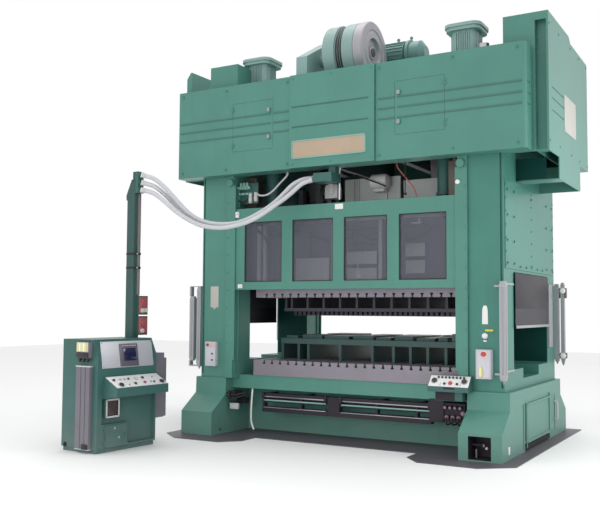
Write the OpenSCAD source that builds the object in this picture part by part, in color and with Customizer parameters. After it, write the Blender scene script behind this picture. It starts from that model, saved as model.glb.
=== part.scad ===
// Straight-side mechanical stamping press with a freestanding operator console.
// Millimetres, +Z up. The origin is on the floor, at the centre of the four anchor bolts.
// The front of the press faces -Y.

/* [Press frame] */
// Width over the crown's front covers
crown_w = 6000; // [5980:10:6020]
// Depth of the crown over its covers
crown_d = 3360; // [3340:10:3380]
// Height of the crown's underside
crown_base = 4260; // [4250:5:4270]
// Height of the crown covers
crown_h = 1480; // [1470:5:1490]
// Half width over the outer faces of the uprights
column_out = 2600; // [2590:5:2610]
// Half width of the clear space between the uprights
column_in = 1940; // [1930:5:1950]
// Depth of an upright, front to back
column_d = 2900; // [2880:10:2920]
// Height of the joint between bed and uprights
bed_joint = 910; // [900:5:920]
// Length of a foot, front to back
foot_len = 3740; // [3720:10:3760]

/* [Tooling space] */
// Height of the bolster's working face
bolster_top = 1215; // [1210:5:1220]
// Width of the bolster
bolster_w = 3565; // [3555:5:3565]
// Depth of the bolster
bolster_d = 2580; // [2560:10:2600]
// Distance between two T-slots
slot_pitch = 152.4; // [152.4:0.1:152.4]
// Slide travel from top to bottom
stroke = 300; // [290:5:300]
// Height of the slide's working face at the top of its stroke
slide_face = 2240; // [2235:5:2245]

/* [Drive] */
// Height of the crankshaft
crank_z = 4980; // [4975:5:4985]
// Half distance between the two connections
connection_x = 1150; // [1140:5:1160]
// Gear module
gear_module = 20; // [20:1:20]
// Outer radius of the flywheel
flywheel_r = 505; // [500:1:510]

/* [Guards] */
// Height of the front guard
guard_h = 1340; // [1330:5:1345]
// Height of the lower edge of the raised front guard
guard_z = 2365; // [2365:5:2370]

/* [Console] */
// Width of the console
console_w = 1165; // [1150:5:1180]
// Depth of the console
console_d = 730; // [720:5:740]
// Height of the console
console_h = 1600; // [1590:5:1600]
// Height of the conduit mast's top
mast_top = 4160; // [4155:5:4165]

/* [Hidden] */
$fn = 64;

press_green = [0.30, 0.50, 0.45];
cover_green = [0.36, 0.56, 0.50];
dark_green = [0.20, 0.37, 0.33];
plate_grey = [0.55, 0.53, 0.58];
steel = [0.70, 0.70, 0.72];
dark_steel = [0.22, 0.22, 0.25];
bronze = [0.65, 0.50, 0.28];
light_grey = [0.76, 0.76, 0.76];
black = [0.08, 0.08, 0.09];
red = [0.70, 0.16, 0.16];
pane_grey = [0.30, 0.30, 0.34, 0.5];

pan_t = 12;
roof_z = crown_base + crown_h - 20;
column_y = column_d / 2;
crown_y = crown_d / 2;
foot_y = foot_len / 2;
foot_in = 2070;
foot_out = 2680;
anchor_x = 2370;
anchor_y = 1720;
anchor_r = 30;
tie_x = 2270;
tie_y = 1215;
tie_r = 75;
running = 0.05;

// A box given by its two corners.
module block(low, high) translate(low) cube(high - low);

// Children and their mirror image across the plane X = 0.
module both_sides() for (s = [0, 1]) mirror([s, 0, 0]) children();

// Children and their mirror image across the plane Y = 0.
module front_and_rear() for (s = [0, 1]) mirror([0, s, 0]) children();

// Extrudes a [Y, Z] outline along X from x0 to x1.
module along_x(x0, x1) translate([x0, 0, 0]) rotate([90, 0, 90]) linear_extrude(x1 - x0) children();

// Extrudes an [X, Z] outline along Y from y0 to y1.
module along_y(y0, y1) translate([0, y1, 0]) rotate([90, 0, 0]) linear_extrude(y1 - y0) children();

// A round bar along X, centred on [y, z].
module bar_x(x0, x1, r, y = 0, z = 0) translate([x0, y, z]) rotate([0, 90, 0]) cylinder(r = r, h = x1 - x0);

// A round bar along Y, centred on [x, z].
module bar_y(y0, y1, r, x = 0, z = 0) translate([x, y0, z]) rotate([-90, 0, 0]) cylinder(r = r, h = y1 - y0);

// A round bar along Z, centred on [x, y].
module bar_z(z0, z1, r, x = 0, y = 0) translate([x, y, z0]) cylinder(r = r, h = z1 - z0);

// Points on a circular arc from angle a0 to a1.
function arc(cx, cy, r, a0, a1, n = 6) = [for (i = [0:n]) let (a = a0 + (a1 - a0) * i / n)
    [cx + r * cos(a), cy + r * sin(a)]];

// ---- Base ----

// Floor plate: a tray that the feet stand on, cut back between them at the front.
module floor_pan() {
    half = [[1380, -1640], [1380, -2010], [1640, -2300], [2480, -2300], [2900, -1970], [2900, 2050]];
    color(dark_steel) difference() {
        linear_extrude(pan_t) polygon(concat(half, [for (i = [len(half) - 1:-1:0]) [-half[i].x, half[i].y]]));
        anchor_holes(-1, pan_t + 1);
    }
}

module anchor_holes(z0, z1) {
    both_sides() front_and_rear() bar_z(z0, z1, anchor_r, anchor_x, anchor_y);
}

foot_outline = [[-foot_y, pan_t], [-foot_y, 381], [-column_y - 40, 650], [-column_y - 30, bed_joint],
    [column_y + 30, bed_joint], [column_y + 40, 650], [foot_y, 381], [foot_y, pan_t]];
beam_z = 740;
beam_top = 960;

// Bed: a welded box between two end frames with sloping feet.
module bed() {
    color(press_green) difference() {
        union() {
            both_sides() along_x(foot_in, foot_out) polygon(foot_outline);
            block([-foot_in - 1, -bolster_d / 2 + 20, beam_z], [foot_in + 1, bolster_d / 2 - 20, bed_joint]);
            block([-column_in, -bolster_d / 2 + 20, bed_joint - 1], [column_in, bolster_d / 2 - 20,
                beam_top]);
            block([-foot_in - 1, -790, pan_t], [foot_in + 1, 790, beam_z + 1]);
        }
        front_and_rear() block([2210, -foot_y - 1, 30], [2530, -foot_y + 330, 345]);
        front_and_rear() block([-foot_out - 1, -foot_y + 50, 30], [-2240, -foot_y + 310, 330]);
        bar_x(-foot_in - 60, -foot_in + 1, 30, -foot_y + 250, 75);
        both_sides() block([foot_out - 15, -760, 150], [foot_out + 1, 750, 745]);
        both_sides() block([foot_out - 400, -730, pan_t - 1], [foot_out + 1, 660, 130]);
        both_sides() front_and_rear() bar_z(bed_joint - 460, bed_joint + 100, tie_r + 5, tie_x, tie_y);
        anchor_holes(0, 60);
    }
}

plate_left = -1655;

// A plate with T-slots cut into its upper face, drawn as an [X, Z] outline.
function t_slot_outline(x0, x1, z0, z1) = concat([[x0, z0], [x1, z0], [x1, z1]],
    [for (i = [21:-1:0]) let (x = (i - 9.5) * slot_pitch)
        for (p = [[14, 0], [14, 40], [25, 40], [25, 62], [-25, 62], [-25, 40], [-14, 40], [-14, 0]])
            [x + p.x, z1 - p.y]], [[x0, z1]]);

module bolster() {
    color(plate_grey) along_y(-bolster_d / 2, bolster_d / 2)
        polygon(t_slot_outline(plate_left, plate_left + bolster_w, beam_top, bolster_top));
}

// ---- Uprights and crown ----

window_y = 980;
window_top = 2600;
window_outline = [[-window_y, 1200], [-500, 1200], [-500, 1050], [400, 1050], [400, 1200], [window_y, 1200],
    [window_y, window_top], [-window_y, window_top]];

module upright() {
    color(press_green) difference() {
        union() {
            along_x(column_in, column_out) difference() {
                translate([-column_y, bed_joint]) square([column_d, crown_base - bed_joint]);
                polygon(window_outline);
            }
            block([column_out, -column_y + 60, window_top + 40], [column_out + 12, column_y - 60, 3900]);
            for (y = [-1:1], z = [0:6])
                bar_x(column_out + 12, column_out + 20, 14, y * (column_y - 90), window_top + 90 + z * 190);
        }
        front_and_rear()
            block([column_out - 45, -column_y - 1, bed_joint + 60], [column_out - 15, -column_y + 30,
                crown_base + 1]);
        front_and_rear() bar_z(bed_joint - 1, crown_base + 1, tie_r + 5, tie_x, tie_y);
    }
}

module upright_right() upright();

module upright_left() mirror([1, 0, 0]) upright();

// Bearing walls of the crown: [low X, high X].
bearing_walls = [[-1600, -1480], [-480, -380], [700, 820], [1480, 1600]];
// Idler shaft and drive shaft, each as [Y, Z], found by swinging their centre distances.
main_teeth = 60;
idler_pinion_teeth = 20;
idler_gear_teeth = 56;
drive_pinion_teeth = 16;
idler_lean = 42;
drive_lean = 3;
main_distance = gear_module * (main_teeth + idler_pinion_teeth) / 2;
drive_distance = gear_module * (idler_gear_teeth + drive_pinion_teeth) / 2;
idler_at = [-main_distance * sin(idler_lean), crank_z + main_distance * cos(idler_lean)];
drive_at = idler_at + drive_distance * [-sin(drive_lean), cos(drive_lean)];
main_x = [-740, -590];
second_x = [-930, -800];
journal_r = 140;
idler_r = 70;
drive_r = 70;

// Crown: a welded box, open below, with access openings behind the doors and slots over the gears.
module crown_frame() {
    color(press_green) difference() {
        block([-column_out, -crown_y + 60, crown_base], [column_out, crown_y - 60, roof_z]);
        block([-1900, -crown_y + 120, crown_base + 40], [1900, crown_y - 120, roof_z - 40]);
        block([-1900, -1380, crown_base - 1], [1900, 1380, crown_base + 41]);
        for (s = [-1, 1]) block([s * 1460 - 360, -crown_y, 4660], [s * 1460 + 360, -crown_y + 121, 5390]);
        block([-955, idler_at.x - 585, roof_z - 41], [-775, idler_at.x + 585, roof_z + 1]);
        block([-776, idler_at.x - 235, roof_z - 41], [-560, idler_at.x + 235, roof_z + 1]);
        both_sides() front_and_rear() bar_z(crown_base - 1, roof_z + 1, tie_r + 5, tie_x, tie_y);
    }
}

// Bearing walls: four plates across the crown that carry the crankshaft and the idler.
module bearing_walls() {
    color(press_green) for (w = bearing_walls) difference() {
        block([w[0], -crown_y + 120, crown_base + 140], [w[1], crown_y - 120, roof_z - 40]);
        bar_x(-1601, 1601, journal_r + running, 0, crank_z);
        bar_x(-1601, -379, idler_r + running, idler_at.x, idler_at.y);
    }
}

groove_z = [5190, 5035, 4880];
groove_w = 26;
groove_d = 10;
hinge_r = 8;
hinge_z = [4715, 5305];
cover_t = 20;
joint_x = 740;
door_z = [4627, 5421];
door_w = 772;

// Grooves pressed into a cover, from x0 to x1.
module cover_grooves(x0, x1, y, levels) for (z = levels)
    block([x0, y - 1, z - groove_w / 2], [x1, y + groove_d, z + groove_w / 2]);

// An outer crown cover: a tray with a rounded outer corner and a deep end return.
module outer_cover(door_x) {
    depth = 60;
    end_depth = 290;
    y0 = -crown_y;
    x1 = crown_w / 2;
    outline = concat([[joint_x, y0]], arc(x1 - 60, y0 + 60, 60, -90, 0),
        [[x1, y0 + end_depth], [column_out, y0 + end_depth], [column_out, y0 + depth], [joint_x,
            y0 + depth]]);
    hollow = concat([[joint_x + cover_t, y0 + cover_t]], arc(x1 - 60, y0 + 60, 60 - cover_t, -90, 0),
        [[x1 - cover_t, y0 + end_depth + 1], [column_out + cover_t, y0 + end_depth + 1],
         [column_out + cover_t, y0 + depth + 1], [joint_x + cover_t, y0 + depth + 1]]);
    difference() {
        translate([0, 0, crown_base]) linear_extrude(crown_h) polygon(outline);
        translate([0, 0, crown_base + cover_t]) linear_extrude(crown_h - 2 * cover_t) polygon(hollow);
        cover_grooves(joint_x + 40, x1 - 60, y0, groove_z);
        for (z = groove_z)
            block([x1 - groove_d, y0 + 60, z - groove_w / 2], [x1 + 1, y0 + 200, z + groove_w / 2]);
        block([door_x - 3, y0 - 1, door_z[0] - 3], [door_x + door_w + 3, y0 + 50, door_z[1] + 3]);
    }
    for (z = hinge_z, k = [-31, 31]) {
        bar_z(z + k, z + k + 30, hinge_r, door_x + door_w, y0 - 9);
        block([door_x + door_w, y0 - 9, z + k], [door_x + door_w + 32, y0 - 1, z + k + 30]);
        block([door_x + door_w + 5, y0 - 2, z + k], [door_x + door_w + 32, y0 + 1, z + k + 30]);
    }
}

module crown_cover_right() color(cover_green) outer_cover(1056);

module crown_cover_left() color(cover_green) mirror([1, 0, 0]) outer_cover(1075);

module crown_cover_center() {
    y0 = -crown_y - 40;
    color(cover_green) difference() {
        block([-joint_x + 4, y0, crown_base], [joint_x - 4, y0 + 100, crown_base + crown_h]);
        block([-joint_x + 4 + cover_t, y0 + cover_t, crown_base + cover_t],
              [joint_x - 4 - cover_t, y0 + 101, crown_base + crown_h - cover_t]);
        cover_grooves(-joint_x + 44, joint_x - 100, y0, [5225, 4905]);
    }
}

module crown_cover_rear() {
    color(cover_green) difference() {
        block([-crown_w / 2, crown_y - 60, crown_base], [crown_w / 2, crown_y, crown_base + crown_h]);
        block([-crown_w / 2 + cover_t, crown_y - 61, crown_base + cover_t],
              [crown_w / 2 - cover_t, crown_y - cover_t, crown_base + crown_h - cover_t]);
        for (x = [-2000, 0, 2000]) block([x - 900, crown_y - 8, 5270], [x + 900, crown_y + 1, 5286]);
    }
}

// An access door: a flat leaf with two hinge knuckles on its outer edge and two latches on the other.
module access_door(x) {
    y0 = -crown_y;
    color(cover_green) union() {
        for (z = hinge_z) {
            bar_z(z, z + 30, hinge_r, x + door_w, y0 - 9);
            block([x + door_w - 32, y0 - 9, z], [x + door_w, y0 + 1, z + 30]);
        }
        difference() {
            block([x, y0, door_z[0]], [x + door_w, y0 + cover_t, door_z[1]]);
            cover_grooves(x + 40, x + door_w + 1, y0, groove_z);
        }
        for (z = [4812, 5250]) block([x + 40, y0 - 16, z - 30], [x + 90, y0 + 1, z + 30]);
    }
}

module crown_door_right() access_door(1056);

module crown_door_left() mirror([1, 0, 0]) access_door(1075);

// Side plate outline of an end hood, as [Y, Z].
hood_outline = [[-1390, 4250], [-800, 4250], [-800, 3930], [600, 3930], [600, 4330], [1220, 4330], [1220,
    6110],
    [20, 6130], [-99, 6215], [-1390, 6215]];
hood_hollow = [[-1375, 3900], [585, 3900], [585, 4345], [1205, 4345], [1205, 6095], [20, 6115], [-105, 6200],
    [-1375, 6200]];

// End hood: a folded sheet cover over the end of the crown, open below and towards the crown.
module end_hood_right() {
    x1 = 3235;
    color(cover_green) difference() {
        along_x(column_out, x1) polygon(hood_outline);
        along_x(column_out - 1, x1 - 15) polygon(hood_hollow);
        block([3050, -1391, 4270], [x1 - 30, -1374, 6100]);
        block([2640, -801, 4010], [3010, -784, 4236]);
        for (z = [5175, 5020, 4850]) block([x1 - 8, -1200, z - 10], [x1 + 1, -480, z + 10]);
    }
    color(cover_green) {
        along_x(3035, 3050) intersection() {
            polygon(hood_outline);
            translate([-1380, 4266]) square([2590, 1940]);
        }
        block([3049, -1275, 4251], [x1 - 14, -1260, 6201]);
        block([column_out, -801, 3930], [x1 - 14, -500, 3945]);
    }
}

// The other end's hood rises above the crown only as a thin panel with a chamfered edge. A sheet box beside
// it covers the nut of a tie rod.
module end_hood_left() {
    outside = [[-column_out, 3900], [-3040, 3900], [-3040, 6070], [-2960, 6180], [-2930, 6180], [-2930, 5770],
        [-column_out, 5770]];
    inside = [[-column_out + 1, 3899], [-3025, 3899], [-3025, 6065], [-2955, 6164], [-2945, 6164], [-2945,
        5755],
        [-column_out + 1, 5755]];
    color(cover_green) difference() {
        intersection() {
            along_y(-1390, 1220) polygon(outside);
            along_x(-3235, -column_out) polygon(hood_outline);
        }
        intersection() {
            along_y(-1375, 1205) polygon(inside);
            along_x(-3235, -column_out + 1) polygon(hood_hollow);
        }
    }
    color(cover_green) difference() {
        block([-2520, -1400, roof_z], [-1960, -1000, 6195]);
        block([-2508, -1388, roof_z - 1], [-1972, -1012, 6183]);
    }
}

// Tie rods: four through bolts with a nut at each end.
module tie_rods() {
    color(steel) both_sides() front_and_rear() {
        bar_z(bed_joint - 459, roof_z + 210, tie_r, tie_x, tie_y);
        translate([tie_x, tie_y, roof_z]) cylinder(r = 150, h = 130, $fn = 6);
    }
}

// ---- Top of the crown ----

// Outline of a square with rounded corners, centred on the origin.
function rounded_square(w, r) = [for (q = [0:3]) each
    arc((w / 2 - r) * (q == 0 || q == 3 ? 1 : -1), (w / 2 - r) * (q < 2 ? 1 : -1), r, 90 * q, 90 * q + 90)];

// Ribbed vent housings with wider flat lids.
module roof_vents() {
    color(dark_green) both_sides() translate([1860, -780, roof_z]) {
        linear_extrude(560) polygon(rounded_square(390, 90));
        for (a = [0:3], i = [-3:3]) rotate([0, 0, 90 * a]) block([180, i * 34 - 7, 0], [212, i * 34 + 7,
            520]);
        translate([0, 0, 550]) linear_extrude(60) polygon(rounded_square(540, 130));
        translate([0, 0, 600]) linear_extrude(50) polygon(rounded_square(580, 140));
        linear_extrude(30) polygon(rounded_square(426, 100));
    }
}

hood_gear_outline = [[-1125, roof_z], [-1125, 6230], [-330, 6670], [-150, 6670], [180, 6250], [180, roof_z]];
hood_gear_hollow = [[-1105, roof_z - 1], [-1105, 6218], [-325, 6650], [-160, 6650], [160, 6243], [160,
    roof_z - 1]];
quill_r = 110;

// Gear hood: a case on the crown's roof with the flywheel's quill on one side.
module gear_hood() {
    color(cover_green) difference() {
        union() {
            along_x(-970, -765) polygon(hood_gear_outline);
            block([-766, idler_at.x - 260, roof_z], [-540, idler_at.x + 260, 5850]);
            bar_x(-766, -120, quill_r, drive_at.x, drive_at.y);
        }
        along_x(-950, -785) polygon(hood_gear_hollow);
        block([-765, idler_at.x - 240, roof_z - 1], [-560, idler_at.x + 240, 5830]);
        bar_x(-971, -119, drive_r + running, drive_at.x, drive_at.y);
    }
}

// ---- Drive ----

pressure_angle = 20;
tooth_slack = 0.6;
function involute(a) = (tan(a) - a * PI / 180) * 180 / PI;
// Half angle of a tooth at radius r, thinned a little for backlash.
function half_tooth(n, r) = let (p = gear_module * n / 2, b = p * cos(pressure_angle))
    90 / n - tooth_slack / p * 180 / PI + involute(pressure_angle) - involute(acos(min(1, b / max(r, b))));
// Outline of a spur gear with stub teeth, the first one centred on the first axis.
function gear_outline(n) = let (p = gear_module * n / 2,
    radii = [p - 1.05 * gear_module, p - 0.45 * gear_module, p, p + 0.8 * gear_module])
    [for (i = [0:n - 1]) for (k = [-1, 1]) for (j = [0:3])
        let (r = radii[k < 0 ? j : 3 - j], a = 360 * i / n + k * half_tooth(n, r)) [r * cos(a), r * sin(a)]];

module gear(n, x, at, turn) {
    along_x(x[0], x[1]) translate(at) rotate(turn) polygon(gear_outline(n));
}

crank_at = [0, crank_z];
// Directions of the two lines of centres, as angles from +Y towards +Z.
main_line = 90 + idler_lean;
drive_line = 90 + drive_lean;
throw = stroke / 2;
eccentric_r = 290;

module crankshaft() {
    color(steel) {
        bar_x(-1700, 1700, journal_r, 0, crank_z);
        both_sides() bar_x(connection_x - 130, connection_x + 130, eccentric_r, 0, crank_z + throw);
    }
}

module main_gear() {
    color(dark_steel) difference() {
        union() {
            gear(main_teeth, main_x, crank_at, main_line);
            bar_x(main_x[0] - 10, main_x[1] + 20, 220, 0, crank_z);
        }
        bar_x(main_x[0] - 11, main_x[1] + 21, journal_r, 0, crank_z);
        for (a = [0:60:300]) bar_x(main_x[0] - 1, main_x[1] + 1, 100, 390 * cos(a), crank_z + 390 * sin(a));
    }
}

// Idler: a shaft with its pinion in one piece, and the large second-stage gear on it.
module idler_gears() {
    color(dark_steel) {
        difference() {
            gear(idler_gear_teeth, second_x, idler_at, drive_line);
            bar_x(second_x[0] - 1, second_x[1] + 1, idler_r, idler_at.x, idler_at.y);
            for (a = [0:60:300])
                bar_x(second_x[0] - 1, second_x[1] + 1, 100, idler_at.x + 340 * cos(a),
                    idler_at.y + 340 * sin(a));
        }
        bar_x(-1640, -350, idler_r, idler_at.x, idler_at.y);
        difference() {
            gear(idler_pinion_teeth, main_x, idler_at, main_line + 180 + 180 / idler_pinion_teeth);
            bar_x(main_x[0] - 1, main_x[1] + 1, idler_r, idler_at.x, idler_at.y);
        }
    }
}

module drive_shaft() {
    color(steel) {
        bar_x(-990, 190, drive_r, drive_at.x, drive_at.y);
        gear(drive_pinion_teeth, second_x, drive_at, drive_line + 180 + 180 / drive_pinion_teeth);
    }
}

// A body turned about a shaft along X: profile points are [X, radius].
module turned(at, profile) {
    translate([0, at.x, at.y]) rotate([0, 90, 0]) rotate_extrude($fn = 96)
        polygon([for (p = profile) [p.y, p.x]]);
}

belt_x = [-270, -230, -190];
belt_w = 26;

// Belt grooves in a rim of radius r, as profile points; a belt rides 24 mm above the groove's root.
function groove_points(r) = let (a = belt_w / 2 + 4, b = belt_w / 2 + 1)
    [for (x = belt_x) for (p = [[-a, r], [-b, r - 24], [b, r - 24], [a, r]]) [x + p.x, p.y]];

module flywheel() {
    r = flywheel_r;
    profile = concat([[-520, r - 12], [-508, r], [-300, r], [-300, r - 30]], groove_points(r - 30),
        [[-160, r - 30], [-160, r], [40, r], [40, 400], [-120, 400], [-120, 220], [-100, 200],
         [-100, quill_r + running], [-500, quill_r + running], [-500, 200], [-340, 220], [-340, 400],
             [-520, 400]]);
    color(cover_green) turned(drive_at, profile);
}

// Clutch and brake: a hollow ringed drum keyed to the drive shaft's free end.
module clutch_brake() {
    r = flywheel_r;
    color(light_grey) turned(drive_at, [[46, drive_r], [46, 150], [110, 160], [110, r - 70], [46, r - 60],
        [46, r],
        [190, r], [205, r - 15], [205, r - 130], [195, r - 145], [195, r - 165], [205, r - 180], [205,
            235], [150, 215],
        [150, 120], [175, 110], [175, drive_r]]);
}

motor_at = [300, 6440];
motor_r = 240;
pulley_r = 120;

module motor() {
    color(dark_green) {
        turned(motor_at, [[-110, 0], [-110, 110], [-30, 130], [0, motor_r], [430, motor_r], [430,
            motor_r - 40],
            [470, motor_r - 40], [470, motor_r + 20], [520, motor_r + 20], [520, motor_r - 15],
            [700, motor_r - 15], [780, 120], [780, 0]]);
        for (a = [7.5:15:352.5]) translate([0, motor_at.x, motor_at.y]) rotate([a, 0, 0])
            block([10, -4, motor_r - 30], [420, 4, motor_r + 14]);
        for (x = [260, 500]) {
            bar_z(motor_at.y + motor_r - 20, motor_at.y + motor_r + 40, 14, x, motor_at.x);
            bar_y(motor_at.x - 8, motor_at.x + 8, 28, x, motor_at.y + motor_r + 62);
        }
        block([20, motor_at.x - 200, 6150], [410, motor_at.x + 200, motor_at.y - motor_r + 25]);
        for (x = [0, 320]) block([x - 30, motor_at.x - 260, roof_z + 40], [x + 30, motor_at.x + 260, 6120]);
        block([-120, motor_at.x - 300, 6120], [440, motor_at.x + 300, 6150]);
        block([-120, motor_at.x - 320, roof_z], [440, motor_at.x + 320, roof_z + 40]);
        block([150, motor_at.x + motor_r - 40, motor_at.y - 110], [350, motor_at.x + motor_r + 120,
            motor_at.y + 110]);
    }
}

module motor_pulley() {
    color(steel) turned(motor_at, concat([[-310, 0], [-310, pulley_r]], groove_points(pulley_r),
        [[-150, pulley_r], [-150, 60], [-110.5, 60], [-110.5, 0]]));
}

// Outline of a belt's loop round two pulleys of radii ra and rb, as [Y, Z].
function belt_loop(a, b, ra, rb) = let (d = b - a, l = norm(d), line = atan2(d.y, d.x),
    lean = acos((ra - rb) / l))
    concat(arc(b.x, b.y, rb, line - lean, line + lean, 10), arc(a.x, a.y, ra, line + lean,
        line + 360 - lean, 26));

module drive_belts() {
    ra = flywheel_r - 50;
    rb = pulley_r - 20;
    color(black) for (x = belt_x) along_x(x - belt_w / 2, x + belt_w / 2) difference() {
        polygon(belt_loop(drive_at, motor_at, ra + 22, rb + 22));
        polygon(belt_loop(drive_at, motor_at, ra, rb));
    }
}

// ---- Slide ----

slide_bottom = slide_face + 130;
slide_top = 3450;
slide_x = 1600;
slide_y = 1100;
wrist_z = 3980;
wrist_r = 80;
wrist_play = 36;
rod_x = 1540;
rod_y = 900;
rod_r = 45;

// Connections: a strap round the eccentric, a shank and a wrist pin that works in the slide's saddle.
module connections() {
    top = crank_z + throw;
    color(steel) both_sides() {
        difference() {
            union() {
                bar_x(connection_x - 120, connection_x + 120, 400, 0, top);
                along_x(connection_x - 120, connection_x + 120)
                    polygon([[-240, top - 250], [-140, wrist_z], [140, wrist_z], [240, top - 250]]);
                bar_x(connection_x - 120, connection_x + 120, 140, 0, wrist_z);
            }
            bar_x(connection_x - 121, connection_x + 121, eccentric_r + running, 0, top);
            bar_x(connection_x - 121, connection_x + 121, wrist_r, 0, wrist_z);
        }
        bar_x(connection_x - 205, connection_x + 205, wrist_r, 0, wrist_z);
    }
}

// Housings of the slide adjustment on top of the slide.
adjuster_x = [[-270, 480], [500, 710]];

module slide() {
    slot = throw + wrist_r + 6;
    color(press_green) difference() {
        union() {
            block([-slide_x, -slide_y, slide_bottom], [slide_x, slide_y, slide_top]);
            both_sides() front_and_rear() block([slide_x - 1, 880, slide_bottom + 130], [1780, slide_y,
                slide_top - 50]);
            both_sides() for (x = [connection_x - 210, connection_x + 130])
                block([x, -350, slide_top - 1], [x + 80, 350, 4130]);
            for (x = adjuster_x) difference() {
                block([x[0], -680, slide_top - 1], [x[1], -250, 4190]);
                block([x[0] + 20, -660, slide_top - 2], [x[1] - 20, -249, 4170]);
            }
        }
        both_sides() block([connection_x - 211, -slot, wrist_z - wrist_r - wrist_play],
                           [connection_x + 211, slot, wrist_z + wrist_r + wrist_play]);
        front_and_rear() for (i = [-2:1])
            block([i * 780 + 60, -slide_y - 1, slide_bottom + 120], [i * 780 + 720, -slide_y + 90,
                slide_top - 120]);
    }
}

module slide_plate() {
    color(plate_grey) mirror([0, 0, 1]) translate([0, 0, -2 * slide_face - 130])
        along_y(-1230, 1230)
            polygon(t_slot_outline(plate_left, plate_left + bolster_w - 10, slide_face, slide_face + 130));
}

// Upper die: parallels two slots apart under the slide plate, a shoe and a row of punches.
module upper_die() {
    z = slide_face;
    color(dark_steel) {
        for (x = concat([-1330], [for (k = [0:9]) 2 * slot_pitch * (k - 4)], [1700]))
            block([x - 20, -800, z - 171], [x + 20, 800, z]);
        block([-1350, -820, z - 225], [1740, 820, z - 170]);
        for (k = [0:32], y = [-600, 330]) block([-1290 + k * 88, y, z - 295], [-1238 + k * 88, y + 270,
            z - 224]);
    }
}

parallels = [-1380, -1070, -885, -290, 285, 650, 935, 1220, 1515, 1730];
// Tooling on the lower die, each as [low X, high X, low Y, high Y, height over the shoe].
lower_tools = [[-1340, -1120, -760, 200, 45], [-1060, -690, -700, -100, 60], [-1000, -420, 60, 640, 65],
    [-620, -170, -740, 0, 50], [-120, 250, -700, 500, 62], [310, 560, -720, -200, 40], [330, 900, -120,
        640, 60],
    [620, 930, -700, -240, 66], [1000, 1300, -720, 300, 45], [1010, 1500, 360, 700, 64], [1350, 1500,
        -700, 200, 60],
    [1600, 1720, -780, -420, 120]];

// Lower die: parallels on the bolster, a shoe across them and the tooling on it.
module lower_die() {
    z = bolster_top;
    color(dark_green) {
        for (x = parallels) block([x - 22, -820, z], [x + 22, 820, z + 261]);
        block([-1400, -840, z + 260], [1755, 840, z + 350]);
        for (t = lower_tools) block([t[0], t[2], z + 349], [t[1], t[3], z + 350 + t[4]]);
    }
}

// Gibs: guide ways on the uprights for the four corners of the slide.
module gibs() {
    color(bronze) both_sides() front_and_rear()
        translate([0, 0, 2400]) linear_extrude(crown_base - 2400)
            polygon([[column_in, 860], [column_in, 1180], [1700, 1180], [1700, slide_y + 2], [1782,
                slide_y + 2],
                [1782, 860]]);
}

module counterbalance_cylinders() {
    color(dark_green) both_sides() front_and_rear() difference() {
        union() {
            bar_z(3800, crown_base + 120, 115, rod_x, rod_y);
            bar_z(3790, 3830, 135, rod_x, rod_y);
            bar_z(crown_base + 100, crown_base + 140, 135, rod_x, rod_y);
        }
        bar_z(3840, crown_base + 100, 95, rod_x, rod_y);
        bar_z(3789, 3841, rod_r + running, rod_x, rod_y);
    }
}

module counterbalance_rods() {
    color(steel) both_sides() front_and_rear() {
        bar_z(slide_top, 4300, rod_r, rod_x, rod_y);
        bar_z(4300, 4340, 94, rod_x, rod_y);
    }
}

// ---- Guards ----

guard_w = 1930;
guard_front = -column_y - 20;
pane_x = [[-1735, -1016], [-819, -85], [106, 834], [1026, 1770]];
pane_z = [125, 1110];

module guard() {
    color(cover_green) difference() {
        union() {
            block([-guard_w, guard_front, guard_z], [guard_w, guard_front + 60, guard_z + guard_h]);
            both_sides() for (z = [120, guard_h - 220])
                block([guard_w - 60, guard_front + 59, guard_z + z], [guard_w, guard_front + 100,
                    guard_z + z + 100]);
        }
        for (p = pane_x)
            block([p[0], guard_front - 1, guard_z + pane_z[0]], [p[1], guard_front + 61,
                guard_z + pane_z[1]]);
    }
}

module guard_panes() {
    color(pane_grey) for (p = pane_x)
        block([p[0], guard_front + 24, guard_z + pane_z[0]], [p[1], guard_front + 32, guard_z + pane_z[1]]);
}

module front_guard() guard();

module front_guard_panes() guard_panes();

module rear_guard() mirror([0, 1, 0]) guard();

module rear_guard_panes() mirror([0, 1, 0]) guard_panes();

// Guard rails: bolted strips on the uprights with a lip over the guard's edge, a strip behind it and a chain
// wheel at the top.
module guard_rails() {
    color(cover_green) both_sides() front_and_rear() {
        block([column_in + 5, -column_y - 45, bed_joint + 5], [column_in + 150, -column_y, crown_base]);
        block([column_in - 30, -column_y - 45, 1210], [column_in + 6, guard_front - 5, 4100]);
        block([column_in - 25, guard_front + 105, 1210], [column_in, guard_front + 125, 4100]);
        for (i = [0:10]) bar_y(-column_y - 55, -column_y - 45, 14, column_in + 120, 1200 + i * 290);
        bar_y(-column_y - 95, -column_y - 45, 60, column_in + 60, 4150);
    }
}

side_guard_z = [1790, 2590];

module side_guard() {
    color(dark_steel) {
        block([2616, -960, side_guard_z[0] + 40], [2622, 960, side_guard_z[1]]);
        block([2614, -960, side_guard_z[0]], [2630, 960, side_guard_z[0] + 40]);
    }
}

module side_guard_right() side_guard();

module side_guard_left() mirror([1, 0, 0]) side_guard();

// One light curtain bar with a cap at each end.
module curtain_bar(low, high) {
    block(low, high);
    for (z = [low.z - 30, high.z]) block([low.x + 8, low.y + 8, z], [high.x - 8, high.y - 8, z + 30]);
}

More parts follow.
